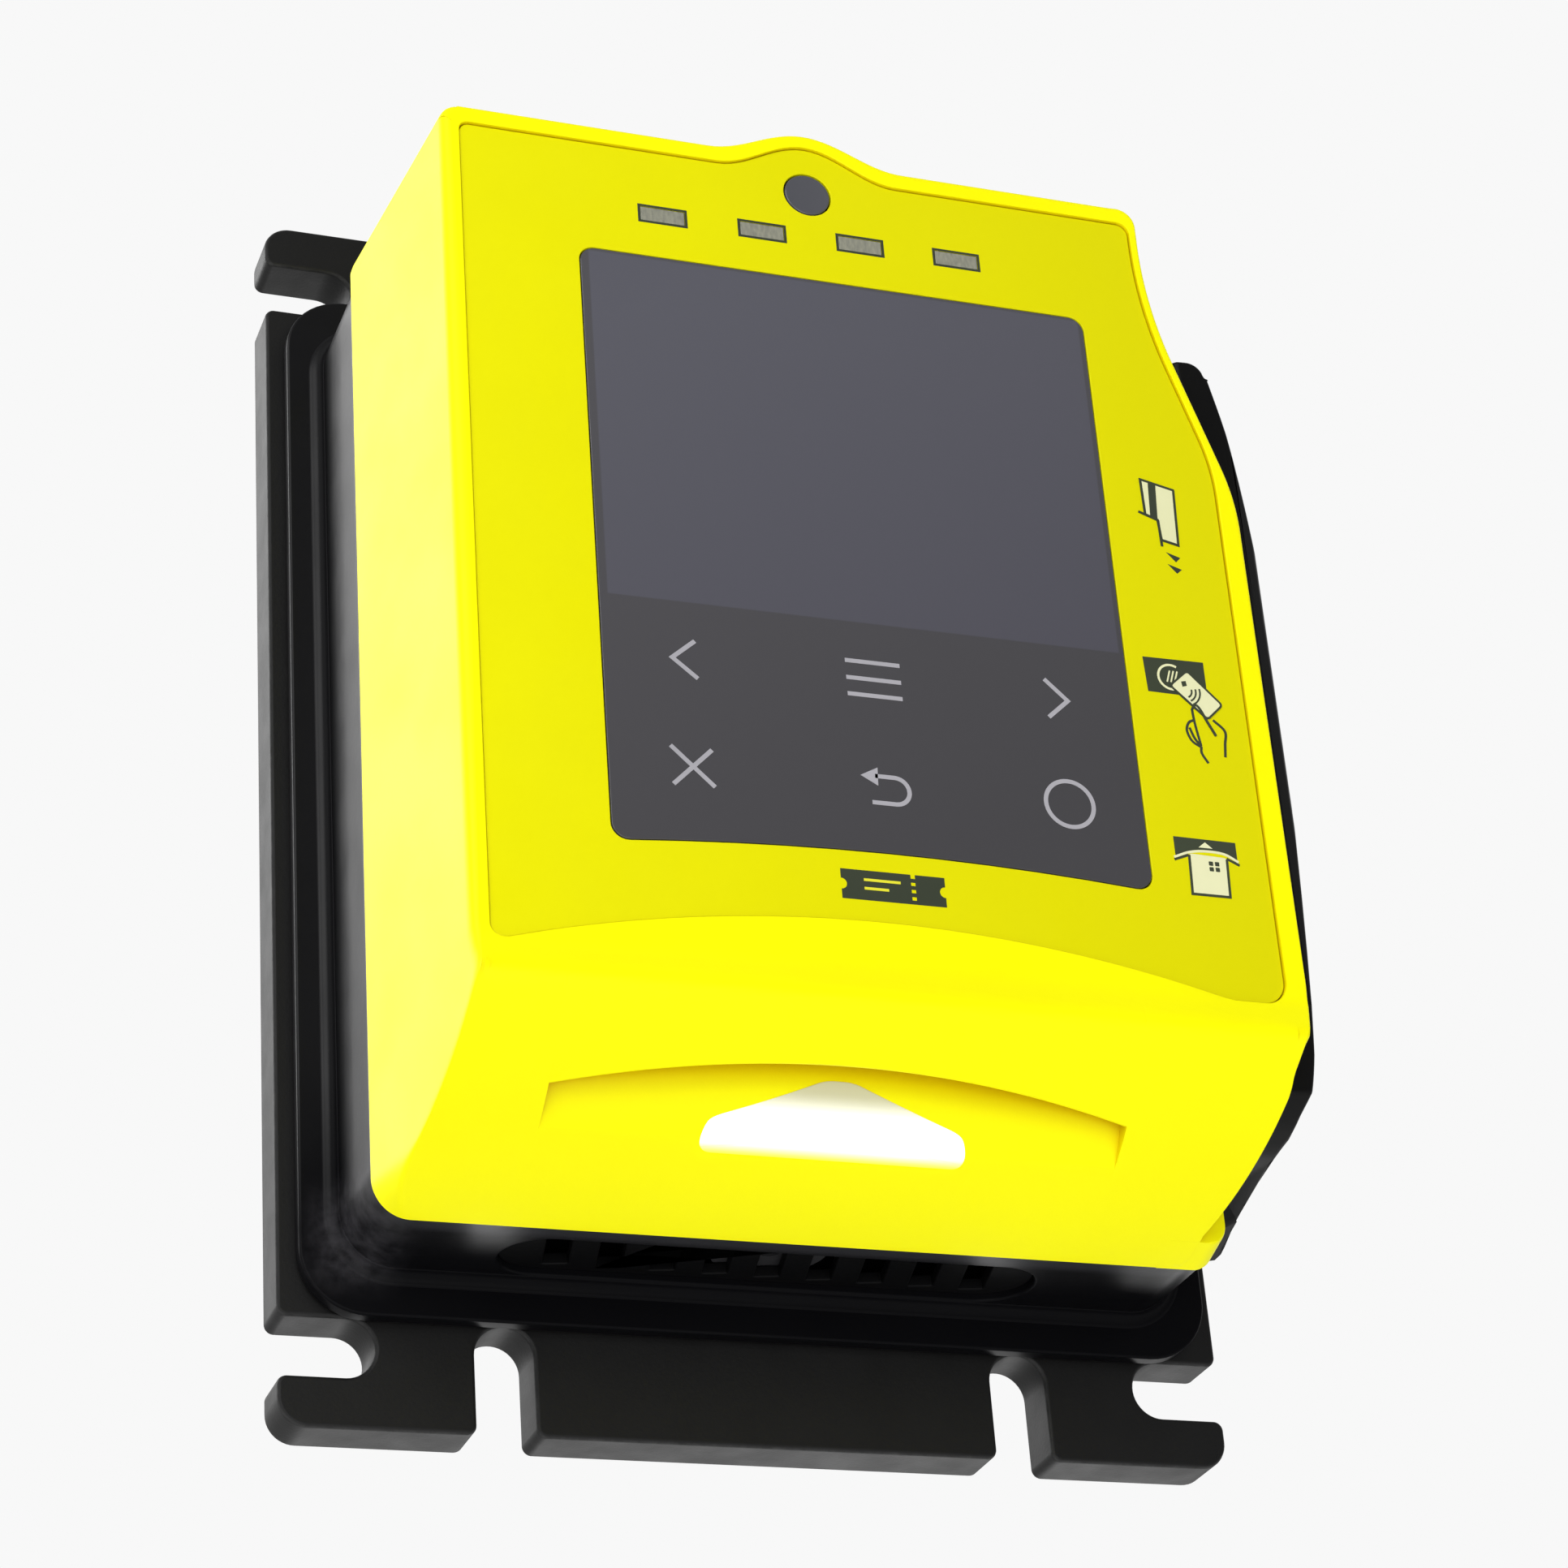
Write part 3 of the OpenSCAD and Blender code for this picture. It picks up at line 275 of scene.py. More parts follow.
def window_dark():
    """Dark window: the lit area of the display behind it shows a little lighter, and a painted reflection
    lightens the window towards its upper left.
    """
    made = Finish("window_dark", specular=0.3, coat=0.5, coat_rough=0.06)
    lit = made.inside((LIT_X, LIT_Z), (LIT_W / 2, LIT_H / 2), 0.12)
    # painted reflection: both tones grow lighter towards the upper left, where the front light's glare falls
    slope = made.maths("SUBTRACT", made.axis("Z"), made.times(made.axis("X"), 0.55))
    painted_reflection = made.spread(slope, 0.0, 1.0, -32.0, 58.0)
    keys = made.blend(painted_reflection, (65, 64, 67), (77, 76, 80))
    screen = made.blend(painted_reflection, (73, 72, 81), (86, 86, 95))
    made.colour(made.blend(lit, keys, screen))
    made.gloss(0.1, 0.2, 0.06, 4.0, 0.6)
    return made.bumps(made.noise(0.15, 2.0), 0.002)


def led_window():
    """Ribbed windows of the status lights."""
    made = Finish("led_window", coat=0.4)
    rows = made.noise(0.9, 2.0, stretch=(3, 1, 1))
    made.colour(made.blend(made.spread(rows), (150, 150, 132), (128, 128, 116)))
    made.gloss(0.15, 0.3, 0.5)
    return made.bumps(rows, 0.01)


def base_black():
    """Black base: duller flange, a paler mottled patch at its lower left, a paler lip along the joint
    underneath.
    """
    made = Finish("base_black", specular=0.2)
    black = made.blend(made.noise(0.03, 2.0), (13, 13, 15), (9, 9, 11))
    patch_mottle = made.spread(made.noise(0.5, 5.0), 0.1, 1.0)
    patch = made.times(made.inside((-51.0, -61.0), (4.0, 5.0), 3.0), patch_mottle)
    lip = made.times(made.spread(made.axis("Y"), 1.0, 0.0, -24.2, -22.6),
                     made.spread(made.axis("Z"), 1.0, 0.0, -63.0, -60.0))
    made.colour(made.blend(lip, made.blend(patch, black, (52, 51, 54)), (40, 40, 43)))
    made.gloss(0.3, 0.38, 0.11, 4.0)
    dull = made.times(made.spread(made.axis("Y"), 0.0, 1.0, -21.0, -15.0),
                      made.spread(made.axis("Z"), 1.0, 0.0, -60.0, -40.0))
    made.link(made.spread(dull, 0.2, 0.04, 0.0, 1.0), made.shader.inputs["Specular IOR Level"])
    return made.bumps(made.maths("ADD", made.noise(0.9, 2.0), made.times(made.noise(0.4, 2.0), 0.4)), 0.012)


def plate_black():
    """Powder-coated mounting plate, with a painted highlight that makes it brighter where its edges turn."""
    made = Finish("plate_black", specular=0.25)
    split = made.node("ShaderNodeSeparateXYZ")
    made.link(made.node("ShaderNodeTexCoord").outputs["Normal"], split.inputs[0])
    facing = made.maths("ABSOLUTE", split.outputs["Y"])
    edge = made.times(facing, made.maths("SUBTRACT", 1.0, facing))
    # painted highlight: a lighter grey on the rounded edges, where light catches them
    painted_edge_highlight = made.times(made.spread(edge, 0.0, 1.0, 0.1, 0.25), made.spread(made.noise(0.6, 4.0), 0.3, 1.0))
    paint = made.blend(made.spread(made.noise(0.04, 3.0)), (15, 15, 15), (12, 12, 12))
    made.colour(made.blend(painted_edge_highlight, paint, (52, 52, 52)))
    made.gloss(0.48, 0.56, 0.2, 4.0)
    return made.bumps(made.noise(2.4, 3.0), 0.02)


def arrow_light():
    """Light guide of the arrow: brightest at its tip, greyer and dimmer under the lip by painted shade, with a
    yellow rim low down.
    """
    made = Finish("arrow_light", specular=0.3)
    # painted shade: the colour greys and the glow weakens towards the top of the arrow, in the lip's shadow
    height = made.spread(made.axis("Z"), 0.1, 1.0, -53.4, -57.6, smooth=True)
    rim = made.spread(made.axis("Z"), 0.0, 1.0, -58.5, -60.0, smooth=True)
    shade = made.blend(height, (196, 194, 150), (246, 246, 238))
    made.colour(made.blend(rim, shade, (250, 246, 60)))
    made.gloss(0.3, 0.4, 0.2)
    strength = made.times(height, made.spread(made.noise(0.1, 1.0), 0.7, 0.85))
    made.glow(made.blend(rim, (255, 255, 246), (255, 250, 30)), strength)
    return made.bumps(made.noise(0.8, 2.0), 0.006)


def circuit_green():
    """Circuit board: green solder resist over its tracks."""
    made = Finish("circuit_green", coat=0.3)
    tracks = made.node("ShaderNodeTexBrick")
    tracks.inputs["Scale"].default_value = 0.35
    tracks.inputs["Mortar Size"].default_value = 0.03
    made.link(made.mapped(turn=(math.radians(90), 0, 0)), tracks.inputs["Vector"])
    line = tracks.outputs["Fac"]
    resist = made.blend(made.spread(made.noise(0.1)), (24, 84, 46), (18, 66, 38))
    made.colour(made.blend(line, resist, (46, 118, 64)))
    made.gloss(0.3, 0.45, 0.4)
    return made.bumps(line, 0.03)


finishes = [
    *(plastic(*row) for row in PLASTICS), *(metal(*row) for row in METALS), cover_yellow(), printed_foil(),
    window_dark(), led_window(), base_black(), plate_black(), arrow_light(), circuit_green(),
]
FINISHES = {finish.name: finish.material for finish in finishes}

# finishes of the slots that carry another name than their finish
SLOT_FINISH = {
    "plate_steel": "plate_black",
    "black_rubber": "rubber",
    "black_plastic": "base_black",
    "grille_plastic": "grille_black",
    "yellow_plastic": "cover_yellow",
    "printed_panel": "printed_foil",
    "window_glass": "window_dark",
    "status_lens": "led_window",
    "sensor_plastic": "sensor_dark",
    "circuit_board": "circuit_green",
    "light_guide": "arrow_light",
}
NODE_SLOT = {row["node"]: row["material_slot"] for row in frame["record"]["subparts"]}
BODY_OF = {n: body for body, group in frame["record"]["behaviour"]["bodies"].items() for n in group}

# ---- putting pieces in place ----


def linked(name, data):
    """A new object in the scene."""
    made = bpy.data.objects.new(name, data)
    bpy.context.scene.collection.objects.link(made)
    return made


def settle(name, mesh, finish, body="validator", stands_for=()):
    """Links a finished mesh, already in its place, hangs it under its body's empty and hides the CAD parts it
    stands for.
    """
    made = linked(name, mesh)
    mesh.materials.append(FINISHES[finish])
    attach(made, body)
    if stands_for:
        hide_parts(*stands_for)
    return made


def mesh_of(name, points, faces, smooth=True):
    """A mesh from points in millimetres, shape (n, 3), and its faces."""
    mesh = bpy.data.meshes.new(name)
    mesh.from_pydata((np.asarray(points, float) * MM).tolist(), [], [list(map(int, f)) for f in faces])
    mesh.polygons.foreach_set("use_smooth", np.full(len(mesh.polygons), smooth))
    mesh.update()
    return mesh


def grid_faces(rows, columns, ring_rows=False, ring_columns=False):
    """Quads between the points of a grid, closed on itself along either direction."""
    i = np.arange(rows if ring_rows else rows - 1)[:, None]
    j = np.arange(columns if ring_columns else columns - 1)[None, :]
    a, b = i * columns + j, i * columns + (j + 1) % columns
    c, d = ((i + 1) % rows) * columns + (j + 1) % columns, ((i + 1) % rows) * columns + j
    return np.stack(np.broadcast_arrays(a, b, c, d), -1).reshape(-1, 4)


def outwards(mesh):
    """Turns every face outwards."""
    work = bmesh.new()
    work.from_mesh(mesh)
    bmesh.ops.recalc_face_normals(work, faces=work.faces)
    work.to_mesh(mesh)
    work.free()


def lofted(name, rows, finish, caps=True, stands_for=()):
    """A closed piece from loops of points: capped at both ends, or else closed on itself along the rows too."""
    rows = np.asarray(rows)
    n, k = rows.shape[:2]
    faces = grid_faces(n, k, not caps, True).tolist()
    if caps:
        faces += [list(range(k)), [(n - 1) * k + j for j in range(k)]]
    mesh = mesh_of(name, rows.reshape(-1, 3), faces)
    outwards(mesh)
    return settle(name, mesh, finish, stands_for=stands_for)


def at_depth(loop, y):
    """A loop of x and z set upright at y."""
    return beside(loop[:, 0], np.full(len(loop), y), loop[:, 1])


def softened(node, finish, widths, segments=3, sharp=24.0, moved=None):
    """A CAD solid's shape with rounded edges: widths(mid, turn, along) gives each edge's rounding in
    millimetres, and moved(corner) may first shift its corners."""
    work = bmesh.new()
    work.from_mesh(nodes[node].data)
    bmesh.ops.remove_doubles(work, verts=work.verts, dist=2e-6)
    bmesh.ops.dissolve_limit(work, angle_limit=math.radians(0.05), verts=work.verts, edges=work.edges)
    if moved:
        for corner_point in work.verts:
            corner_point.co = Vector(moved(np.array(corner_point.co[:]) / MM)) * MM
    work.edges.ensure_lookup_table()
    ends = np.array([[e.verts[0].co[:], e.verts[1].co[:]] for e in work.edges]) / MM
    turn = np.degrees([e.calc_face_angle(0.0) if len(e.link_faces) == 2 else 0.0 for e in work.edges])
    along = ends[:, 1] - ends[:, 0]
    round_by = np.where(turn > sharp, widths(ends.mean(1), turn, along), 0.0)
    widest = max(float(round_by.max()), 1e-3)
    weight = work.edges.layers.float.new("bevel_weight_edge")
    for edge, size, angle in zip(work.edges, round_by, turn):
        edge[weight] = size / widest
        edge.smooth = not (angle > sharp and size <= 0)
    for face in work.faces:
        face.smooth = True
    mesh = bpy.data.meshes.new(node + "_skin")
    work.to_mesh(mesh)
    work.free()
    made = settle(node + "_skin", mesh, finish, BODY_OF[node], (node,))
    bevel = made.modifiers.new("rounding", "BEVEL")
    bevel.limit_method = "WEIGHT"
    bevel.width = widest * MM
    bevel.segments = segments
    bevel.use_clamp_overlap = False
    bevel.miter_outer = "MITER_ARC"
    made.modifiers.new("even_shading", "WEIGHTED_NORMAL").keep_sharp = True


def evenly(size):
    """The same rounding on every sharp edge."""
    return lambda mid, turn, along: np.full(len(mid), size)


# ---- curves ----


def arc(centre, radius, start, stop, steps=24):
    """Points on a circle in x and z, angles in degrees from +x towards +z."""
    a = np.radians(np.linspace(start, stop, steps))
    return beside(centre[0] + radius * np.cos(a), centre[1] + radius * np.sin(a))


def rounded(corners, radius, steps=6):
    """A polygon with round corners: quadratic curves between points set back from each corner."""
    c = np.asarray(corners, float)
    before, after = np.roll(c, 1, 0) - c, np.roll(c, -1, 0) - c
    reach = lambda v: v * np.minimum(radius / np.linalg.norm(v, axis=1, keepdims=True), 0.5)
    start, stop = c + reach(before), c + reach(after)
    t = np.linspace(0, 1, steps)[None, :, None]
    curve = (1 - t) ** 2 * start[:, None] + 2 * t * (1 - t) * c[:, None] + t**2 * stop[:, None]
    return curve.reshape(-1, 2)


def denser(outline, step):
    """A closed outline with points no further apart than step."""
    ahead = np.roll(outline, -1, 0) - outline
    parts = np.maximum(np.ceil(np.linalg.norm(ahead, axis=1) / step).astype(int), 1)
    share = np.concatenate([np.arange(n) / n for n in parts])
    return np.repeat(outline, parts, 0) + share[:, None] * np.repeat(ahead, parts, 0)


# ---- cover: one closed skin, carried round the panel's recess ----

PANEL_BACK, SHELF_BACK = -50.1, -48.2
LOW_Z, JOINT_R = -64.95, 4.6  # lower end of the cover at the joint, and its corner there
CHIN_C, CHIN_R = np.array([-14.8, -20.4]), 46.0
SCOOP_C, SCOOP_R = np.array([-30.7, -49.8]), 13.0
SCOOP_HALF, LIP_R, LIP_REACH = 34.7, 130.0, 12.1
UPHILL = np.array([-math.sin(CHIN_LEAN), math.cos(CHIN_LEAN)])  # along the chin at the slot, as y and z
INWARD = np.array([math.cos(CHIN_LEAN), math.sin(CHIN_LEAN)])


def side_profile():
    """Distance down the front from z = 0, with y and z there: face, nose and chin arc, evened out over 3 mm."""
    top, face_low, bend_low, step = 84.0, -41.2, 45.8, 0.25
    start = math.atan2(-bend_low - CHIN_C[1], -math.sqrt(CHIN_R**2 - (bend_low + CHIN_C[1]) ** 2))
    stop = math.atan2(-math.sqrt(CHIN_R**2 - (JOINT_Y - CHIN_C[0]) ** 2), JOINT_Y - CHIN_C[0])
    a = np.linspace(start, stop, 120)
    bend = CHIN_C + CHIN_R * beside(np.cos(a), np.sin(a))
    line = np.vstack([[FACE_Y, top], [FACE_Y, face_low], bend])
    run = np.concatenate([[0], np.cumsum(np.linalg.norm(np.diff(line, axis=0), axis=1))])
    even = np.arange(0, run[-1], step)
    both = np.column_stack([np.interp(even, run, line[:, k]) for k in (0, 1)])
    kernel = np.hanning(15)[1:-1] / np.hanning(15).sum()
    pad = len(kernel) // 2
    tail = both[-1] + (both[-1] - both[-2]) * np.arange(1, pad + 1)[:, None]
    head = both[0] - (both[1] - both[0]) * np.arange(pad, 0, -1)[:, None]
    wide = np.vstack([head, both, tail])
    even_out = np.column_stack([np.convolve(wide[:, k], kernel, "valid") for k in (0, 1)])
    return even - top, even_out[:, 0], even_out[:, 1]


RUN, RUN_Y, RUN_Z = side_profile()
RUN_END = RUN[-1]


def on_front(x, s):
    """Point of face, nose or chin at x and at distance s down the front."""
    return np.stack(np.broadcast_arrays(x, np.interp(s, RUN, RUN_Y), np.interp(s, RUN, RUN_Z)), -1)


def left_x(y):
    return -HALF_W + 0.2101 * (JOINT_Y - y)


def curve_x(z, narrow, wide, mid, r_in, r_out):
    """S-curve in the right edge: a hollow arc, a slanted line and a full arc, from narrow down to wide."""
    slant = math.radians(17.6)
    rise = (wide - narrow) / 2 / math.tan(slant)
    z_in = mid + rise + r_in * math.tan(slant / 2)
    z_out = mid - rise - r_out * math.tan(slant / 2)
    upper = narrow + r_in - np.sqrt(np.maximum(r_in**2 - np.minimum(z - z_in, 0) ** 2, 0))
    lower = wide - r_out + np.sqrt(np.maximum(r_out**2 - np.clip(z - z_out, 0, r_out) ** 2, 0))
    line = narrow + (mid + rise - z) * math.tan(slant)
    inner = z_in - r_in * math.sin(slant)
    outer = z_out + r_out * math.sin(slant)
    return np.where(z > inner, upper, np.where(z < outer, lower, line))


def wing_x(z):
    """Right edge of the cover; it draws in under the panel."""
    under = np.interp(-z, [39.0, 42.0, 45.8, 47.0, 50.0, 66.0], [54.3, 54.1, 53.3, 52.7, 51.9, 51.9])
    return np.minimum(curve_x(z, 45.3, 54.3, 42.8, 60.0, 30.0), under)


def groove_x(y):
    """Swipe groove's inner wall behind the wing's thin edge."""
    return np.interp(y, [-60.0, -50.2, -49.4, -31.0, 0.0], [60.0, 54.4, 52.2, 46.5, 46.5])


def swell_z(x, half, rise):
    return rise * (1 + np.cos(np.pi * np.clip(x / half, -1, 1))) / 2


def corner(x, z, radius, start, stop, steps):
    """Arc that rounds the corner x, z of an outline; it starts at angle start."""
    mid = math.radians((start + stop) / 2)
    centre = (x - radius * math.copysign(1, math.cos(mid)), z - radius * math.copysign(1, math.sin(mid)))
    return arc(centre, radius, start, stop, steps)


def cover_columns():
    """Matching loops round the cover: recess edge and outer edge as x and distance down the front, joint edge
    as x and z, the rounding at the outer edge, and the kind of each column: 0 plain, 1 in the scoop, 2 at the
    groove. They run down the left side, along the chin and back."""
    left, right, top, low = -45.22, 51.62, 69.22, -41.62
    n = 44
    rows = []

    def add(recess, edge, joint, round_by, kind):
        count = len(recess)
        size = np.broadcast_to(np.asarray(round_by, float), (count,))
        rows.append((np.asarray(recess), np.asarray(edge), np.asarray(joint), size, np.full(count, kind)))

    def line(a, b, count, ends=True):
        return np.linspace(a, b, count, endpoint=ends)

    def down(path):
        """Points x, z as x and distance down the flat front."""
        return beside(path[:, 0], -path[:, 1])

    sag = lambda x: np.maximum(-35.62 + 163.0 * (np.sqrt(1 - ((x - 0.5) / 163.0) ** 2) - 1), low)
    # left side, downwards
    z_r, z_e, z_j = (line(a, b, n, False) for a, b in ((top - 1.2, low + 1.6), (70.2, -43.5), (62.6, -56.0)))
    add(beside(np.full(n, left), -z_r), beside(np.full(n, -47.3), -z_e),
        beside(np.full(n, -HALF_W), z_j), line(1.5, 1.7, n), 0)
    # crease between left side and chin, down to where the joint turns round its corner
    m = 26
    t = line(0, 1, m, False)
    s_turn = float(np.interp(LOW_Z + JOINT_R, RUN_Z[::-1], RUN[::-1]))
    s_e = 43.5 + (s_turn - 43.5) * t
    y_e = np.interp(s_e, RUN, RUN_Y)
    turn = corner(left, low, 1.6, 180, 268, m + 18)
    add(down(turn[:m]), beside(left_x(y_e), s_e),
        beside(np.full(m, -HALF_W), -56.0 + (LOW_Z + JOINT_R + 56.0) * t), 1.7 + 0.5 * t, 0)
    # round that corner
    m, done = 18, m
    foot = arc((-HALF_W + JOINT_R, LOW_Z + JOINT_R), JOINT_R, 180, 270, m)
    t = line(0, 1, m)
    s_e = np.interp(-foot[:, 1], -RUN_Z, RUN)
    s_e = s_turn + (RUN_END - 0.6 - s_turn) * (s_e - s_e[0]) / (s_e[-1] - s_e[0])
    y_e = np.interp(s_e, RUN, RUN_Y)
    x_e = foot[:, 0] + (left_x(y_e) + HALF_W) * np.cos(np.pi / 2 * t)
    add(down(turn[done:]), beside(x_e, s_e), foot, 2.2 - 1.9 * t, 0)
    # chin, left of the scoop, in it, and right of it
    x0, x1 = CARD_X - SCOOP_HALF, CARD_X + SCOOP_HALF
    s_end = RUN_END - 0.6

    def chin(x_r, x_e, kind):
        add(beside(x_r, -sag(x_r)), beside(x_e, np.full(len(x_e), s_end)),
            beside(x_e, np.full(len(x_e), LOW_Z)), 0.3, kind)

    t = line(0, 1, 14)
    chin(-43.2 + (x0 + 43.2) * t, JOINT_R - HALF_W + 0.1 + (x0 - JOINT_R + HALF_W - 0.1) * t, 0)
    across = x0 + 0.02 + (x1 - x0 - 0.04) * (1 - np.cos(np.pi * line(0, 1, 110))) / 2
    across = 0.5 * across + 0.5 * line(x0 + 0.02, x1 - 0.02, 110)
    chin(across, across, 1)
    chin(x1 + (48.3 - x1) * t, x1 + (45.9 - x1) * t, 0)
    # crease between chin and groove, upwards
    m = 30
    t = line(0, 1, m + 1)[1:]
    s_e = s_end + (45.0 - s_end) * t
    z_e = np.interp(s_e, RUN, RUN_Z)
    y_e = np.interp(s_e, RUN, RUN_Y)
    turn = corner(right, low, 3.1, 272, 360, m)
    add(down(turn), beside(np.minimum(wing_x(z_e), groove_x(y_e)), s_e),
        beside(np.full(m, 46.5), -64.9 + 8.9 * t), 0.45 + 0.25 * t, 2)
    # right side, upwards through the S-curve
    n = 110
    z_r = line(low + 3.1, top - 1.6, n + 1)[1:]
    z_e, z_j = line(-45.0, 69.2, n + 1)[1:], line(-56.0, 62.4, n + 1)[1:]
    x_r = curve_x(z_r, 44.22, 51.62, 44.7, 61.88, 28.12)
    add(beside(x_r, -z_r), beside(wing_x(z_e), -z_e),
        beside(np.minimum(46.5, wing_x(z_j)), z_j), 0.6, 2)
    # top right corner
    m = 12
    turn, edge, foot = (corner(x, z, r, 0, 90, m + 1)[1:] for x, z, r in
                        ((44.22, top, 1.6), (45.3, 71.7, 2.5), (45.3, 64.9, 2.5)))
    add(down(turn), down(edge), foot, 0.7, 0)
    # top, leftwards over the swell
    n = 90
    x_r, x_e, x_j = (line(a, b, n + 1)[1:] for a, b in ((42.6, left + 1.2), (42.8, -45.3), (42.8, -50.4)))
    add(beside(x_r, -(top + swell_z(x_r, 12.0, 4.1))),
        beside(x_e, -(71.7 + swell_z(x_e, 13.0, 3.7))), beside(x_j, np.full(n, 64.9)), 0.8, 0)
    # top left corner
    m = 12
    turn, edge, foot = (corner(x, z, r, 90, 180, m + 2)[1:-1] for x, z, r in
                        ((left, top, 1.2), (-47.3, 71.7, 2.0), (-HALF_W, 64.9, 2.3)))
    add(down(turn), down(edge), foot, 1.1, 0)
    return [np.concatenate(part) for part in zip(*rows)]


LIP_ROWS, WALL_ROWS, FLOOR_ROWS, LOW_ROWS = 18, 6, 16, 12


def scoop_rows(x):
    """Rows under the slot's lip at each x: down the lip's wall and along the round floor to where it ends."""
    reach = LIP_REACH - LIP_R + np.sqrt(LIP_R**2 - (x - CARD_X) ** 2)
    slope = -(beside(RUN_Y, RUN_Z) - LIP_C) @ UPHILL
    s_lip = np.interp(-reach, slope[300:], RUN[300:])
    edge = on_front(x, s_lip)[:, 1:]
    away = edge - SCOOP_C
    along = away @ INWARD
    depth = -along - np.sqrt(np.maximum(along**2 - (away**2).sum(1) + SCOOP_R**2, 0))
    hit = edge + depth[:, None] * INWARD
    flat = hit[:, 1] > SCOOP_C[1]
    front = SCOOP_C[0] - SCOOP_R
    depth = np.where(flat, (front - edge[:, 0]) / INWARD[0], depth)
    hit = edge + depth[:, None] * INWARD
    angle = np.arctan2(-(hit[:, 1] - SCOOP_C[1]), -(hit[:, 0] - SCOOP_C[0]))
    start = np.where(hit[:, 1] > SCOOP_C[1], -(hit[:, 1] - SCOOP_C[1]), SCOOP_R * angle)
    a = np.linspace(0.2, 1.2, 2000)
    ring = SCOOP_C - SCOOP_R * beside(np.cos(a), np.sin(a))
    stop = a[np.argmax(np.linalg.norm(ring - CHIN_C, axis=1) > CHIN_R)] * SCOOP_R
    w = np.linspace(0, 1, WALL_ROWS) ** 0.8
    wall = edge[:, None] + (0.25 + (depth[:, None] - 0.25) * w)[..., None] * INWARD
    f = np.linspace(0, 1, FLOOR_ROWS + 1)[1:]
    q = start[:, None] + (stop - start[:, None]) * f
    bent = np.maximum(q, 0) / SCOOP_R
    floor_z = SCOOP_C[1] - SCOOP_R * np.sin(bent) - np.minimum(q, 0)
    floor = np.stack([SCOOP_C[0] - SCOOP_R * np.cos(bent), floor_z], -1)
    end = SCOOP_C - SCOOP_R * np.array([math.cos(stop / SCOOP_R), math.sin(stop / SCOOP_R)])
    s_out = RUN[np.argmin(np.hypot(RUN_Y - end[0], RUN_Z - end[1]))]
    return s_lip, s_out, np.concatenate([wall, floor], 1)


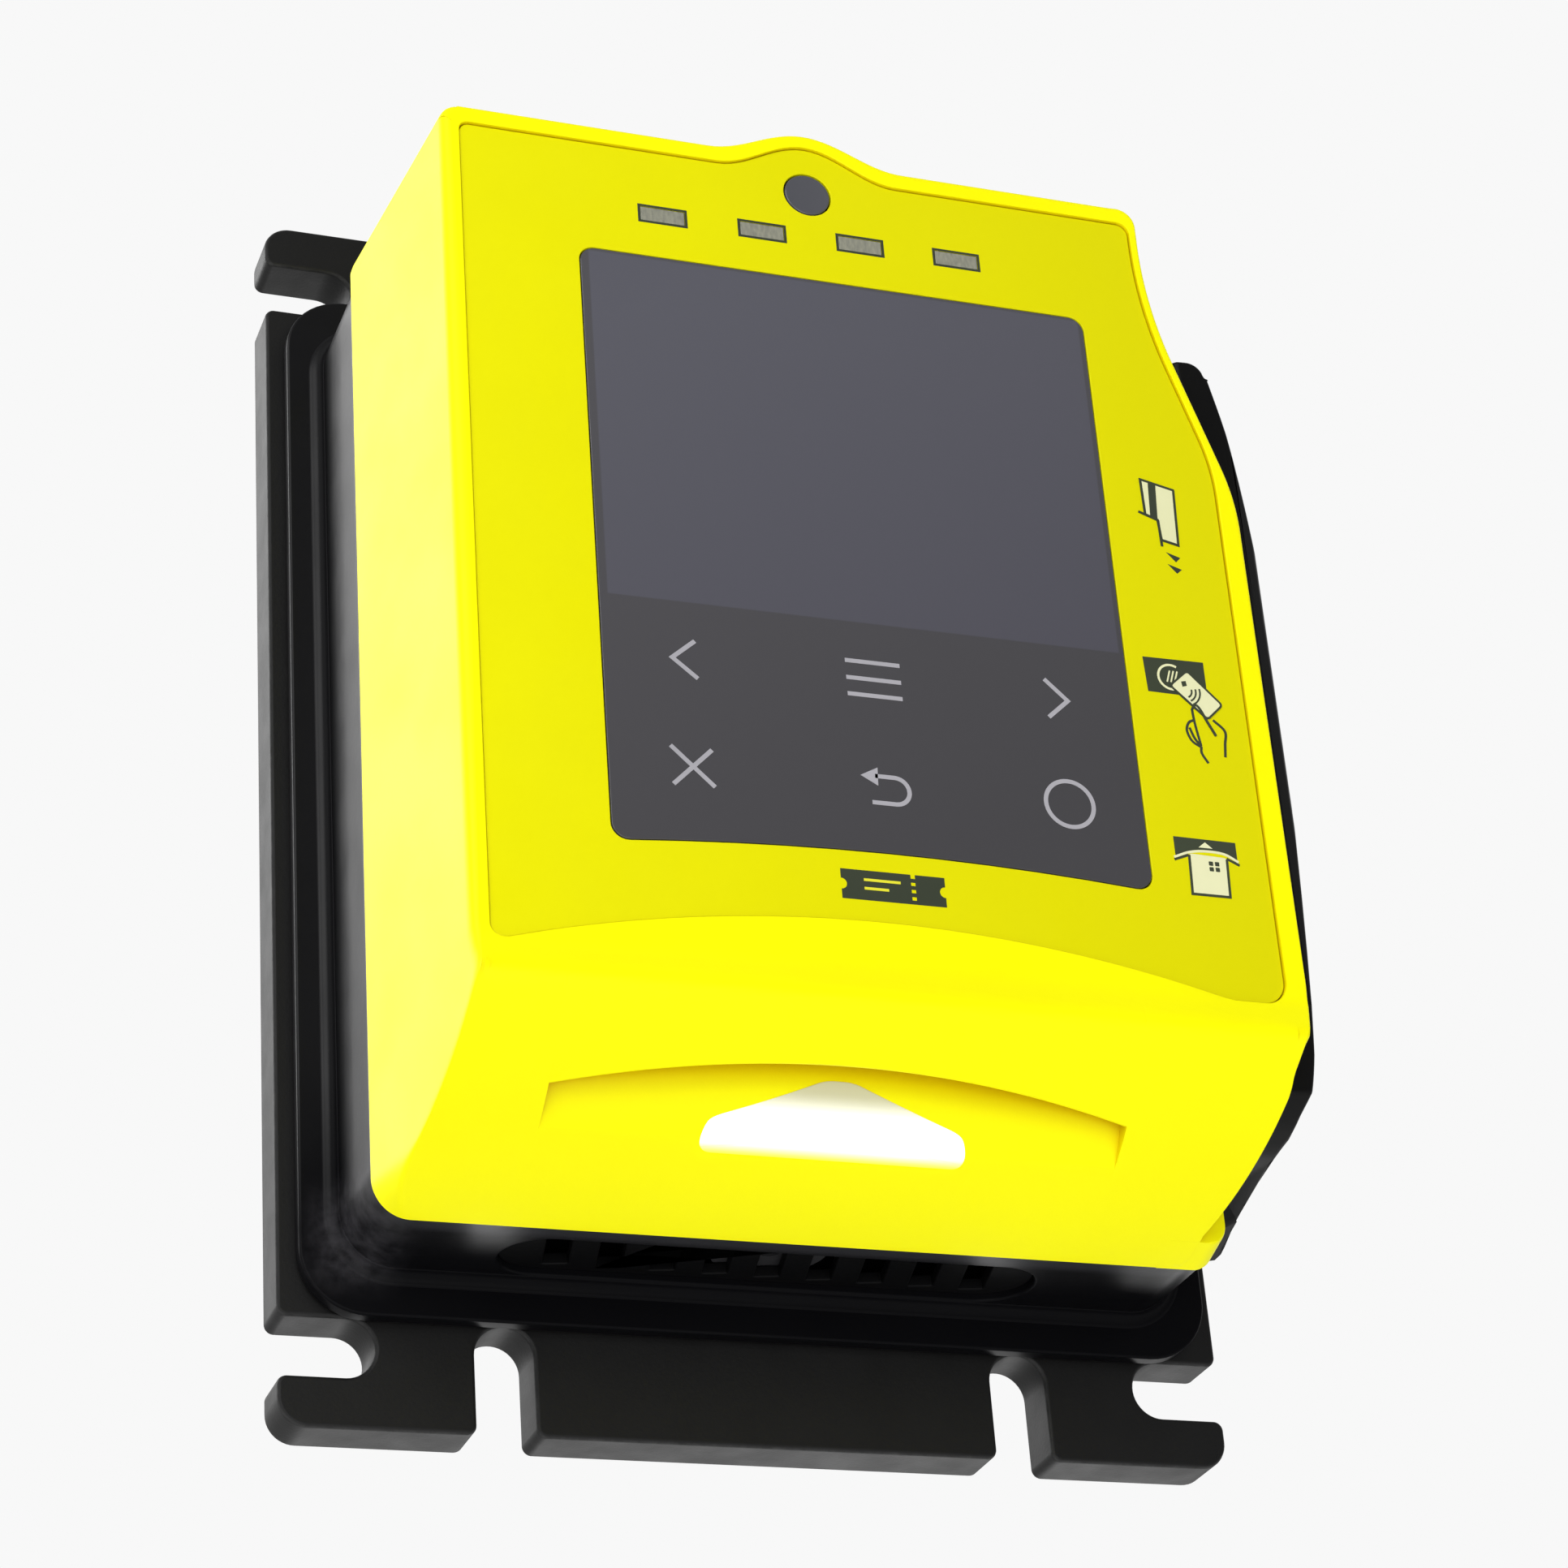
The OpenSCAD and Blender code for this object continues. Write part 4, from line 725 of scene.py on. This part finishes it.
def cover_skin():
    """Closed skin of the cover. Rows run from under the panel out over the recess edge and the front, round
    the outer edge by a quadratic curve, down the side to the joint and back inside; columns run round it."""
    recess, edge, joint, round_by, kind = cover_columns()
    count = len(recess)
    scoop = kind == 1
    first, last = np.flatnonzero(scoop)[[0, -1]]
    s_lip, s_out, sunk = scoop_rows(edge[scoop, 0])

    def fractions(column, s_edge):
        """Row places between recess and outer edge that match the scoop's end column."""
        s0, s1 = recess[column, 1] + 0.15, edge[column, 1] - 0.3
        step = np.linspace(s_edge, s_edge + 0.9, WALL_ROWS + 1)[1:]
        sunk_part, low_part = np.linspace(step[-1], s_out, FLOOR_ROWS + 1), np.linspace(s_out, s1, LOW_ROWS + 1)
        rows = np.concatenate([np.linspace(s0, s_edge, LIP_ROWS), step, sunk_part[1:], low_part[1:]])
        return (rows - s0) / (s1 - s0)

    u_left, u_right = fractions(first, s_lip[0]), fractions(last, s_lip[-1])
    side = np.interp(np.arange(count), [0, first, last, count - 1], [0.5, 0, 1, 0.5])[:, None]
    u = u_left * (1 - side) + u_right * side
    direction = edge - recess
    length = np.linalg.norm(direction, axis=1, keepdims=True)
    unit = direction / length
    begin, finish = recess + 0.15 * unit, edge - np.minimum(round_by[:, None], 0.7 * length) * unit
    flat = begin[:, None] + (finish - begin)[:, None] * u[..., None]
    front = on_front(flat[..., 0], flat[..., 1])
    # the scoop replaces the rows from the lip on
    xs = edge[scoop, 0]
    for k in range(LIP_ROWS):
        s0 = recess[scoop, 1] + 0.15
        front[scoop, k] = on_front(xs, s0 + (s_lip - 0.22 - s0) * k / (LIP_ROWS - 1))
    floor_end = LIP_ROWS + WALL_ROWS + FLOOR_ROWS
    front[scoop, LIP_ROWS:floor_end, 0] = xs[:, None]
    front[scoop, LIP_ROWS:floor_end, 1:] = sunk
    for k in range(LOW_ROWS):
        front[scoop, floor_end + k] = on_front(xs, s_out + (edge[scoop, 1] - 0.3 - s_out) * (k + 1) / LOW_ROWS)

    corner_point = on_front(edge[:, 0], edge[:, 1])
    foot = at_depth(joint, JOINT_Y)
    w = np.concatenate([[0.062, 0.078, 0.094], np.linspace(0.13, 0.8, 9), [0.97]])

    def wall_at(share):
        spot = corner_point + (foot - corner_point) * share
        limit = np.minimum(wing_x(spot[:, 2]), groove_x(spot[:, 1]))
        spot[:, 0] = np.where(kind == 2, np.minimum(limit, 60.0), spot[:, 0])
        return spot

    drop = np.linalg.norm(foot - corner_point, axis=1)
    share = np.minimum(round_by / drop, 0.5)[:, None]
    after = wall_at(share)
    after[:, 0] = np.where(kind == 2, np.minimum(after[:, 0], corner_point[:, 0]), after[:, 0])
    before = front[:, -1]
    bends = []
    for b in (0.16, 0.34, 0.52, 0.7, 0.86, 1.0):
        bends.append((1 - b) ** 2 * before + 2 * b * (1 - b) * corner_point + b**2 * after)
    walls = [wall_at(share + (1 - share) * k) for k in w]

    ring = recess * [1, -1]
    middle = np.array([3.0, 14.0])

    def shrink(loop, by):
        return loop + (middle - loop) * (by / np.linalg.norm(middle - loop, axis=1, keepdims=True))

    shelf, inner_joint = shrink(ring, 3.0), shrink(joint, 2.4)
    rows = [at_depth(*step) for step in ((shelf, SHELF_BACK), (shelf, PANEL_BACK), (ring, PANEL_BACK),
                                         (ring, FACE_Y + 0.14), (shrink(ring, -0.05), FACE_Y + 0.04))]
    rows += list(np.moveaxis(front, 1, 0)) + bends + walls
    rows += [at_depth(*step) for step in ((shrink(joint, 0.12), JOINT_Y), (inner_joint, JOINT_Y),
                                          (inner_joint, JOINT_Y - 4.0))]
    made = lofted("cover_skin", np.stack(rows, 1), "cover_yellow", False, ("front_cover",))
    sharpen(made, 38.0)


def sharpen(made, angle):
    """Keeps edges crisp where the faces turn by more than the angle, and evens the shading of the rest."""
    work = bmesh.new()
    work.from_mesh(made.data)
    for line in work.edges:
        line.smooth = line.calc_face_angle(0.0) < math.radians(angle)
    work.to_mesh(made.data)
    work.free()
    made.modifiers.new("even_shading", "WEIGHTED_NORMAL").keep_sharp = True


def groove_ledge():
    """Floor of the swipe groove with its rim: a profile in x and y carried up z between chin and top."""
    profile = np.array([[43.0, -31.0], [52.3, -31.0], [52.6, -30.88], [52.7, -30.6], [52.7, -26.3],
                        [52.58, -26.1], [43.0, -26.1]])
    y = profile[:, 1]
    low = CHIN_C[1] - np.sqrt(CHIN_R**2 - (y - CHIN_C[0]) ** 2)
    high = HALF_H + 0.2646 * (JOINT_Y - y)
    turn = np.radians(np.linspace(90, 0, 9))
    bend = 2.6
    inset = [*(2.2 + bend * (1 - np.cos(turn))), 2.2, 1.1, 0.0, 0.0, 0.0, 0.05, 0.2]
    order = [*(low + bend * (1 - np.sin(turn))[:, None]), *(low * 0 + z for z in (-57.0, -50.0, -43.0, 0.0)),
             high - 0.25, high - 0.08, high]
    rows = [beside(profile[:, 0] - i * (profile[:, 0] > 50), y, z) for i, z in zip(inset, order)]
    sharpen(lofted("groove_ledge", rows, "cover_yellow"), 30.0)


def arrow_pane():
    """Lit arrow on the scoop's floor: rows up the arrow's height, across from edge to edge, laid on the floor's
    cylinder a hair proud of it; its rim goes back into the floor."""
    half, low, side, tip = 16.1, 0.4, 4.2, 8.95
    outline = rounded([(-half + 0.7, low), (half - 0.7, low), (half, low + 1.3), (half - 0.6, side - 0.2),
                       (half - 1.6, side + 0.5), (1.7, tip), (-1.7, tip), (-half + 1.6, side + 0.5),
                       (-half + 0.6, side - 0.2), (-half, low + 1.3)], 1.1, 8)
    outline = denser(outline, 0.5)
    centre = np.array([0.0, 3.2])
    scale = np.concatenate([np.linspace(0.04, 0.985, 12), [1.0, 1.0]])
    flat = centre + (outline - centre)[None] * scale[:, None, None]
    base = LIP_C + flat[..., 1:] * UPHILL
    away = base - SCOOP_C
    reach = np.concatenate([np.full(13, SCOOP_R + 0.05), [SCOOP_R - 0.4]])[:, None]
    along = away @ INWARD
    depth = -along - np.sqrt(np.maximum(along**2 - (away**2).sum(-1) + reach**2, 0))
    spot = base + depth[..., None] * INWARD
    rows = np.concatenate([CARD_X + flat[..., :1], spot], -1)
    lofted("arrow_pane", rows, "arrow_light", stands_for=("arrow_light_guide",))


cover_skin()
groove_ledge()
arrow_pane()

# ---- base, rail, plate and small parts: rounded solids ----


def plate_edges(mid, turn, along):
    """Rounding all round the plate, but not at the narrow steps of the bays in its back."""
    return np.where((np.abs(mid[:, 0]) < 52) & (mid[:, 1] > -6.9) & (np.abs(mid[:, 2]) < 60), 0.0, 0.5)


def rail_end(point):
    """Remaps the rail's lower end, a plain arc, to a slope that rises to the front, with a step at the base."""
    x, y, z = point
    start, arc_y, arc_z, arc_r = -36.0, -16.0, -24.0, 37.0
    arc_end = arc_z - math.sqrt(max(arc_r**2 - (y - arc_y) ** 2, 0.0))
    low = np.interp(y, [-42.6, -40.6, -38.6, -33.8, -29.2, -25.2, -23.6, -22.3, -21.1, -19.8, -17.7],
                    [-48.2, -49.6, -50.8, -52.6, -53.4, -54.4, -55.3, -56.9, -58.2, -59.0, -59.6])
    if z < start:
        z = start + (z - start) * (low - start) / (arc_end - start)
    if x > 55.0:
        x -= 0.008 * max(-40.0 - z, 0.0) ** 2 * min(max((-32.0 - y) / 8.0, 0.0), 1.0)
    if x > 53.4:
        full = float(np.interp(-z, [53.0, 56.5, 58.2, 59.0, 59.6], [x, 57.8, 57.6, 56.8, 55.0]))
        x += max(full - x, 0.0) * min(max((y + 25.6) / 4.0, 0.0), 1.0)
    return x, y, z


softened("mounting_plate", "plate_black", plate_edges)
softened("swipe_rail", "rail_black", evenly(0.45), 4, moved=rail_end)
for node, finish, size, segments in (
    ("base_housing", "base_black", 0.35, 3),
    ("plate_gasket", "rubber", 0.1, 2),
    ("base_grille", "grille_black", 0.2, 2),
    ("face_panel", "printed_foil", 0.12, 3),
    ("window_pane", "window_dark", 0.1, 3),
    ("status_windows", "led_window", 0.08, 2),
    ("sensor_lens", "sensor_dark", 0.2, 3),
    ("service_door", "base_black", 0.25, 3),
    ("data_jack", "jack_black", 0.25, 3),
    ("power_terminal", "terminal_plastic", 0.2, 3),
    ("usb_port", "bright_steel", 0.1, 2),
    ("magnetic_head", "head_metal", 0.2, 3),
):
    softened(node, finish, evenly(size), segments)


def return_springs():
    """The reader's return springs, which shorten towards their fixed upper end as the carriage goes up; here a
    plain copy of the CAD solid.
    """
    name = "carriage_springs"
    mesh = nodes[name].data.copy()
    made = settle("return_springs", mesh, "spring_steel", BODY_OF[name], (name,))
    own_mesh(made)


return_springs()


# ---- prints on the panel and the window ----


def prism(outline, front, thick):
    """A thin closed slab: an outline in x and z, carried from y = front back by thick."""
    ring = np.asarray(outline, float)
    n = len(ring)
    near = at_depth(ring, front)
    far = near + [0, thick, 0]
    k = np.arange(n)
    sides = beside(k, (k + 1) % n, (k + 1) % n + n, k + n)
    return np.vstack([near, far]), [k.tolist(), (k[::-1] + n).tolist(), *sides.tolist()]


def ribbon(path, width, closed=False):
    """Both sides of a line of even width: each point moves by half the width along its mitre."""
    line = np.asarray(path, float)
    ahead = np.roll(line, -1, 0) - line
    if not closed:
        ahead[-1] = ahead[-2]
    back = np.roll(ahead, 1, 0)
    if not closed:
        back[0] = ahead[0]
    unit = lambda v: v / np.maximum(np.linalg.norm(v, axis=1, keepdims=True), 1e-9)
    mitre = unit(unit(ahead) + unit(back))
    normal = beside(-mitre[:, 1], mitre[:, 0])
    lean = np.clip(np.sum(mitre * unit(ahead), 1), 0.45, 1.0)[:, None]
    return line + normal * width / 2 / lean, line - normal * width / 2 / lean


def stroke(path, width, front, thick, closed=False):
    """A thin closed slab along a path: a four-cornered profile carried along it."""
    one, other = ribbon(path, width, closed)
    n = len(one)
    back = front + thick
    rows = np.stack([at_depth(*side) for side in ((one, front), (other, front), (other, back), (one, back))], 1)
    faces = grid_faces(n, 4, closed, True).tolist()
    if not closed:
        faces += [[3, 2, 1, 0], [4 * n - 4, 4 * n - 3, 4 * n - 2, 4 * n - 1]]
    return rows.reshape(-1, 3), faces


def smooth_path(points, steps=8):
    """Catmull-Rom curve through given points."""
    p = np.asarray(points, float)
    p = np.vstack([2 * p[0] - p[1], p, 2 * p[-1] - p[-2]])
    t = np.linspace(0, 1, steps, endpoint=False)[:, None]
    parts = [
        0.5 * (2 * b + (c - a) * t + (2 * a - 5 * b + 4 * c - d) * t**2 + (3 * b - a - 3 * c + d) * t**3)
        for a, b, c, d in zip(p[:-3], p[1:-2], p[2:-1], p[3:])
    ]
    return np.vstack([*parts, p[-2:-1]])


def printed(name, finish, parts):
    """Joins thin slabs into one piece of print."""
    points, faces, base = [], [], 0
    for some_points, some_faces in parts:
        points.append(some_points)
        faces += [[v + base for v in face] for face in some_faces]
        base += len(some_points)
    mesh = mesh_of(name, np.vstack(points), faces, smooth=False)
    outwards(mesh)
    return settle(name, mesh, finish)


INK = 0.03  # thickness of one layer of print


def layer(number):
    """Front of a layer of print; higher numbers lie on top."""
    return PANEL_Y - INK * number


def ink_stroke(path, width, number=1, closed=False):
    return stroke(path, width, layer(number), INK * number, closed)


def ink_area(outline, number=1):
    return prism(outline, layer(number), INK * number)


def pen(number, *points):
    """A thin dark line drawn smoothly through points."""
    return ink_stroke(smooth_path(points), SIGN_LINE, number)


KEY_LINE, SIGN_LINE = 0.55, 0.32
printed("key_symbols", "key_print", [
    ink_stroke([(-19.1, -1.0), (-22.0, -3.5), (-19.0, -6.0)], KEY_LINE),
    *[ink_stroke([(-0.5, z), (6.4, z)], KEY_LINE) for z in (-1.2, -3.5, -5.7)],
    ink_stroke([(25.0, -0.7), (27.8, -3.4), (25.1, -5.9)], KEY_LINE),
    ink_stroke([(-22.9, -15.2), (-17.8, -20.1)], KEY_LINE),
    ink_stroke([(-17.9, -15.3), (-22.8, -20.2)], KEY_LINE, 1.2),
    ink_area([(0.2, -16.5), (2.4, -15.3), (2.3, -17.7)]),
    ink_stroke([(2.0, -16.45), (4.4, -16.45), *arc((4.4, -18.2), 1.75, 88, -88, 16), (4.4, -19.95),
                (1.4, -19.95)], KEY_LINE),
    ink_stroke(arc((26.5, -17.5), 3.05, 0, 352.5, 48), KEY_LINE, 1, True),
])

# swipe sign: card with its stripe, cut off lower at the left by the rail's wall, two arrowheads under it
SWIPE_CARD = [(41.3, 29.9), (45.7, 28.9), (45.4, 20.8), (43.2, 21.3), (43.0, 24.2), (41.4, 24.8)]
# tap sign: card held over a reader by a hand
TAP_CARD = rounded([(44.2, 2.7), (48.4, -1.6), (46.2, -3.8), (41.7, 0.4)], 0.5)
# insert sign: card going up under the slot's lip
INSERT_CARD = rounded([(41.3, -22.5), (46.2, -22.7), (46.0, -27.8), (41.1, -27.9)], 0.4)
printed("sign_cards", "cream_print", [
    ink_area(SWIPE_CARD, 2),
    ink_area(TAP_CARD, 3),
    ink_area(INSERT_CARD, 1),
    ink_stroke(arc((42.0, 1.6), 1.7, 60, 330, 28), 0.3, 2),
    *[ink_stroke([(41.4 + 0.5 * k, 0.9), (41.9 + 0.5 * k, 2.5)], 0.2, 2) for k in range(3)],
    ink_stroke(smooth_path([(39.3, -23.2), (41.4, -22.35), (43.5, -22.05), (45.9, -22.2), (47.7, -23.1)]),
               0.3, 3),
    ink_area([(43.55, -20.85), (42.65, -21.6), (44.45, -21.6)], 3),
])
printed("sign_lines", "dark_print", [
    ink_stroke(SWIPE_CARD, SIGN_LINE, 3, True),
    ink_area([(42.3, 29.7), (43.3, 29.45), (43.0, 24.3), (42.05, 24.7)], 3.2),
    ink_stroke([(40.5, 25.1), (43.05, 24.15)], SIGN_LINE, 3.1),
    ink_stroke([(43.05, 24.15), (43.15, 20.4)], SIGN_LINE, 3.3),
    ink_area([(43.6, 19.6), (45.45, 19.0), (44.8, 18.3)]),
    ink_area([(43.6, 17.9), (45.45, 17.3), (44.75, 16.65)]),
    ink_area([(38.5, 4.1), (46.6, 4.2), (46.6, -0.8), (38.7, -0.7)], 1),
    ink_stroke(TAP_CARD, 0.26, 4, True),
    ink_area([(43.25, 1.1), (43.85, 1.25), (43.95, 0.6), (43.35, 0.4)], 4.2),
    *[ink_stroke(arc((43.5, -0.1), r, -62, 12, 10), 0.22, 4.2) for r in (1.0, 1.55, 2.1)],
    pen(4.4, (44.3, -2.5), (44.75, -2.0), (45.3, -2.5), (46.1, -4.2), (47.0, -6.0)),
    pen(1.3, (44.25, -2.5), (44.4, -4.6), (44.85, -7.6)),
    pen(1.5, (44.3, -4.1), (43.6, -4.5), (43.2, -5.6), (43.7, -7.0), (44.85, -7.8)),
    pen(1.7, (43.6, -5.2), (44.1, -6.6), (44.75, -7.5)),
    pen(1.9, (44.85, -7.7), (44.8, -8.6), (45.5, -9.9)),
    pen(2.1, (46.9, -3.8), (48.3, -5.2), (48.1, -7.0), (47.9, -8.8)),
    ink_area([(39.5, -20.4), (47.6, -20.5), (47.6, -22.9), *smooth_path(
        [(45.9, -22.1), (43.5, -21.9), (41.3, -22.2)], 6).tolist(), (39.5, -22.9)], 1.2),
    pen(1.4, (39.3, -23.5), (41.2, -22.75)),
    pen(1.6, (46.2, -22.75), (47.8, -23.5)),
    ink_stroke([(41.3, -22.7), (41.1, -27.9), (46.0, -27.9), (46.2, -22.9)], SIGN_LINE, 2),
    *[ink_area(rounded([(x, z), (x + 0.55, z), (x + 0.55, z - 0.55), (x, z - 0.55)], 0.1), 2)
      for x in (43.75, 44.55) for z in (-23.35, -24.1)],
])

# ticket sign under the window: a ticket with notched ends and a row of perforations
TICKET_X, TICKET_Z, TICKET_HALF, TICKET_H = 3.05, -30.9, 6.4, 1.9
NOTCH = 0.7


def ticket_part(x0, x1, notch_left, notch_right):
    """Part of the ticket between x0 and x1, with a half-round notch in either end."""
    low, high = TICKET_Z - TICKET_H, TICKET_Z + TICKET_H
    right = arc((x1, TICKET_Z), NOTCH, 270, 90, 10).tolist() if notch_right else []
    left = arc((x0, TICKET_Z), NOTCH, 90, -90, 10).tolist() if notch_left else []
    return [(x0, low), (x1, low), *right, (x1, high), (x0, high), *left]


printed("ticket_sign", "dark_print", [
    ink_area(ticket_part(TICKET_X - TICKET_HALF, TICKET_X + 2.2, True, False)),
    ink_area(ticket_part(TICKET_X + 2.75, TICKET_X + TICKET_HALF, False, True)),
    *[ink_area([(TICKET_X + x, TICKET_Z + z + up) for x, up in ((2.2, 0), (2.75, 0), (2.75, 0.5), (2.2, 0.5))])
      for z in (-1.9, -0.95, -0.02, 0.9)],
])
printed("ticket_mark", "yellow_print", [
    ink_stroke([(TICKET_X - 3.6, TICKET_Z + z), (TICKET_X + x, TICKET_Z + z)], 0.34, 2)
    for x, z in ((0.9, 0.7), (-0.6, -0.4))
])
printed("status_frames", "dark_print", [
    ink_stroke([(x + 3.05 * side, LED_Z + 1.2 * up) for side, up in ((-1, -1), (1, -1), (1, 1), (-1, 1))],
               0.3, 1, True)
    for x in LED_X
])

# ---- base: hollow fillet at its foot ----


def rounded_rect_path(half_w, half_h, radius, steps=14):
    """Points and outward directions round a rectangle with round corners, in x and z."""
    corner = np.radians(np.linspace(0, 90, steps))
    spots, ways = [], []
    for quarter, (sx, sz) in enumerate(((1, 1), (-1, 1), (-1, -1), (1, -1))):
        a = corner + quarter * np.pi / 2
        way = beside(np.cos(a), np.sin(a))
        spots.append([sx * (half_w - radius), sz * (half_h - radius)] + radius * way)
        ways.append(way)
    return np.vstack(spots), np.vstack(ways)


def foot_fillet(name, radius, sink=0.25):
    """Hollow quarter-round between base wall and flange, carried round the wall; its back lies inside both."""
    spots, ways = rounded_rect_path(BASE_HALF_W, BASE_HALF_H, BASE_R)
    a = np.radians(np.linspace(0, 90, 7))
    out = np.concatenate([radius * (1 - np.sin(a)), [-sink, -sink, radius * 1.02]])
    forward = np.concatenate([radius * (1 - np.cos(a)), [radius * 1.02, -sink, -sink]])
    places = spots[:, None] + ways[:, None] * out[None, :, None]
    y = np.broadcast_to(FLANGE_Y - forward, places.shape[:2])
    lofted(name, np.stack([places[..., 0], y, places[..., 1]], -1), "base_black", False)


foot_fillet("base_foot", 1.6)

# ---- finishes of the pieces that keep their CAD shape ----
for name, piece in nodes.items():
    if piece.hide_render:
        continue
    piece.data.materials.clear()
    piece.data.materials.append(FINISHES[SLOT_FINISH.get(NODE_SLOT[name], NODE_SLOT[name])])

# ---- floor, light and camera ----

FLOOR_Z, FLOOR_REACH = -640.0, 4000.0


def studio_floor():
    """A wide pale floor below the validator, gently curved up at its far ends."""
    u = np.linspace(-1, 1, 33)
    x, y = np.meshgrid(u * FLOOR_REACH, u * FLOOR_REACH, indexing="ij")
    z = FLOOR_Z + 900.0 * np.clip(np.hypot(x, y) / FLOOR_REACH - 0.75, 0, None) ** 2
    mesh = mesh_of("studio_floor", np.stack([x, y, z], -1).reshape(-1, 3), grid_faces(33, 33))
    pale = Finish("floor_pale", specular=0.2)
    pale.colour(pale.blend(pale.noise(0.002, 2.0), (244, 244, 244), (238, 238, 238)))
    pale.gloss(0.7, 0.8, 0.01)
    mesh.materials.append(pale.material)
    linked("studio_floor", mesh)


def soft_light(name, spot, aim, size, watts):
    """A square area light at spot, in millimetres, turned towards aim."""
    lamp = bpy.data.lights.new(name, "AREA")
    lamp.shape = "SQUARE"
    lamp.size = size * MM
    lamp.energy = watts
    made = linked(name, lamp)
    made.location = Vector(spot) * MM
    made.rotation_euler = (Vector(aim) - Vector(spot)).to_track_quat("-Z", "Y").to_euler()
    made.visible_camera = False


def studio_world():
    """Even white surround; its light is softer on the front side than behind the validator."""
    world = bpy.data.worlds.new("studio")
    bpy.context.scene.world = world
    world.use_nodes = True
    tree = world.node_tree
    tree.nodes.clear()
    kinds = "OutputWorld Background Background LightPath MixShader TexCoord SeparateXYZ MapRange".split()
    out, seen, lit, path, mix, where, split, ramp = (tree.nodes.new("ShaderNode" + kind) for kind in kinds)
    seen.inputs["Color"].default_value = srgb(248, 248, 248)
    ramp.interpolation_type = "SMOOTHSTEP"
    for socket, value in (("From Min", -0.6), ("From Max", 0.5), ("To Min", 0.34), ("To Max", 1.0)):
        ramp.inputs[socket].default_value = value
    for source, target in (
        (where.outputs["Generated"], split.inputs[0]), (split.outputs["Y"], ramp.inputs["Value"]),
        (ramp.outputs["Result"], lit.inputs["Strength"]), (path.outputs["Is Camera Ray"], mix.inputs[0]),
        (lit.outputs[0], mix.inputs[1]), (seen.outputs[0], mix.inputs[2]),
        (mix.outputs[0], out.inputs["Surface"]),
    ):
        tree.links.new(source, target)


def camera():
    """Looks up at the validator from its lower left."""
    lens = bpy.data.cameras.new("camera")
    lens.sensor_width = 36.0
    lens.lens = 91.79
    lens.clip_start = 0.01
    made = linked("camera", lens)
    right, up, back = (0.9417, -0.3292, -0.0694), (-0.0971, -0.4634, 0.8808), (-0.3222, -0.8227, -0.4683)
    turn = Matrix((right, up, back)).transposed().to_4x4()
    place = Vector((-157.35, -429.26, -233.86))  # eye, in millimetres
    made.matrix_world = Matrix.Translation(place * MM) @ turn
    bpy.context.scene.camera = made


studio_floor()
studio_world()
soft_light("left_back", (-700, 640, 520), (-50, -40, 0), 620, 6.8)
soft_light("low_back", (290, 760, -520), (0, 0, -80), 560, 2)
soft_light("front_high", (-620, -880, 420), (0, -40, 0), 900, 7.4)
soft_light("front_low", (-160, -800, -420), (0, -40, -40), 700, 3)
camera()
bpy.context.scene.view_settings.view_transform = "Standard"
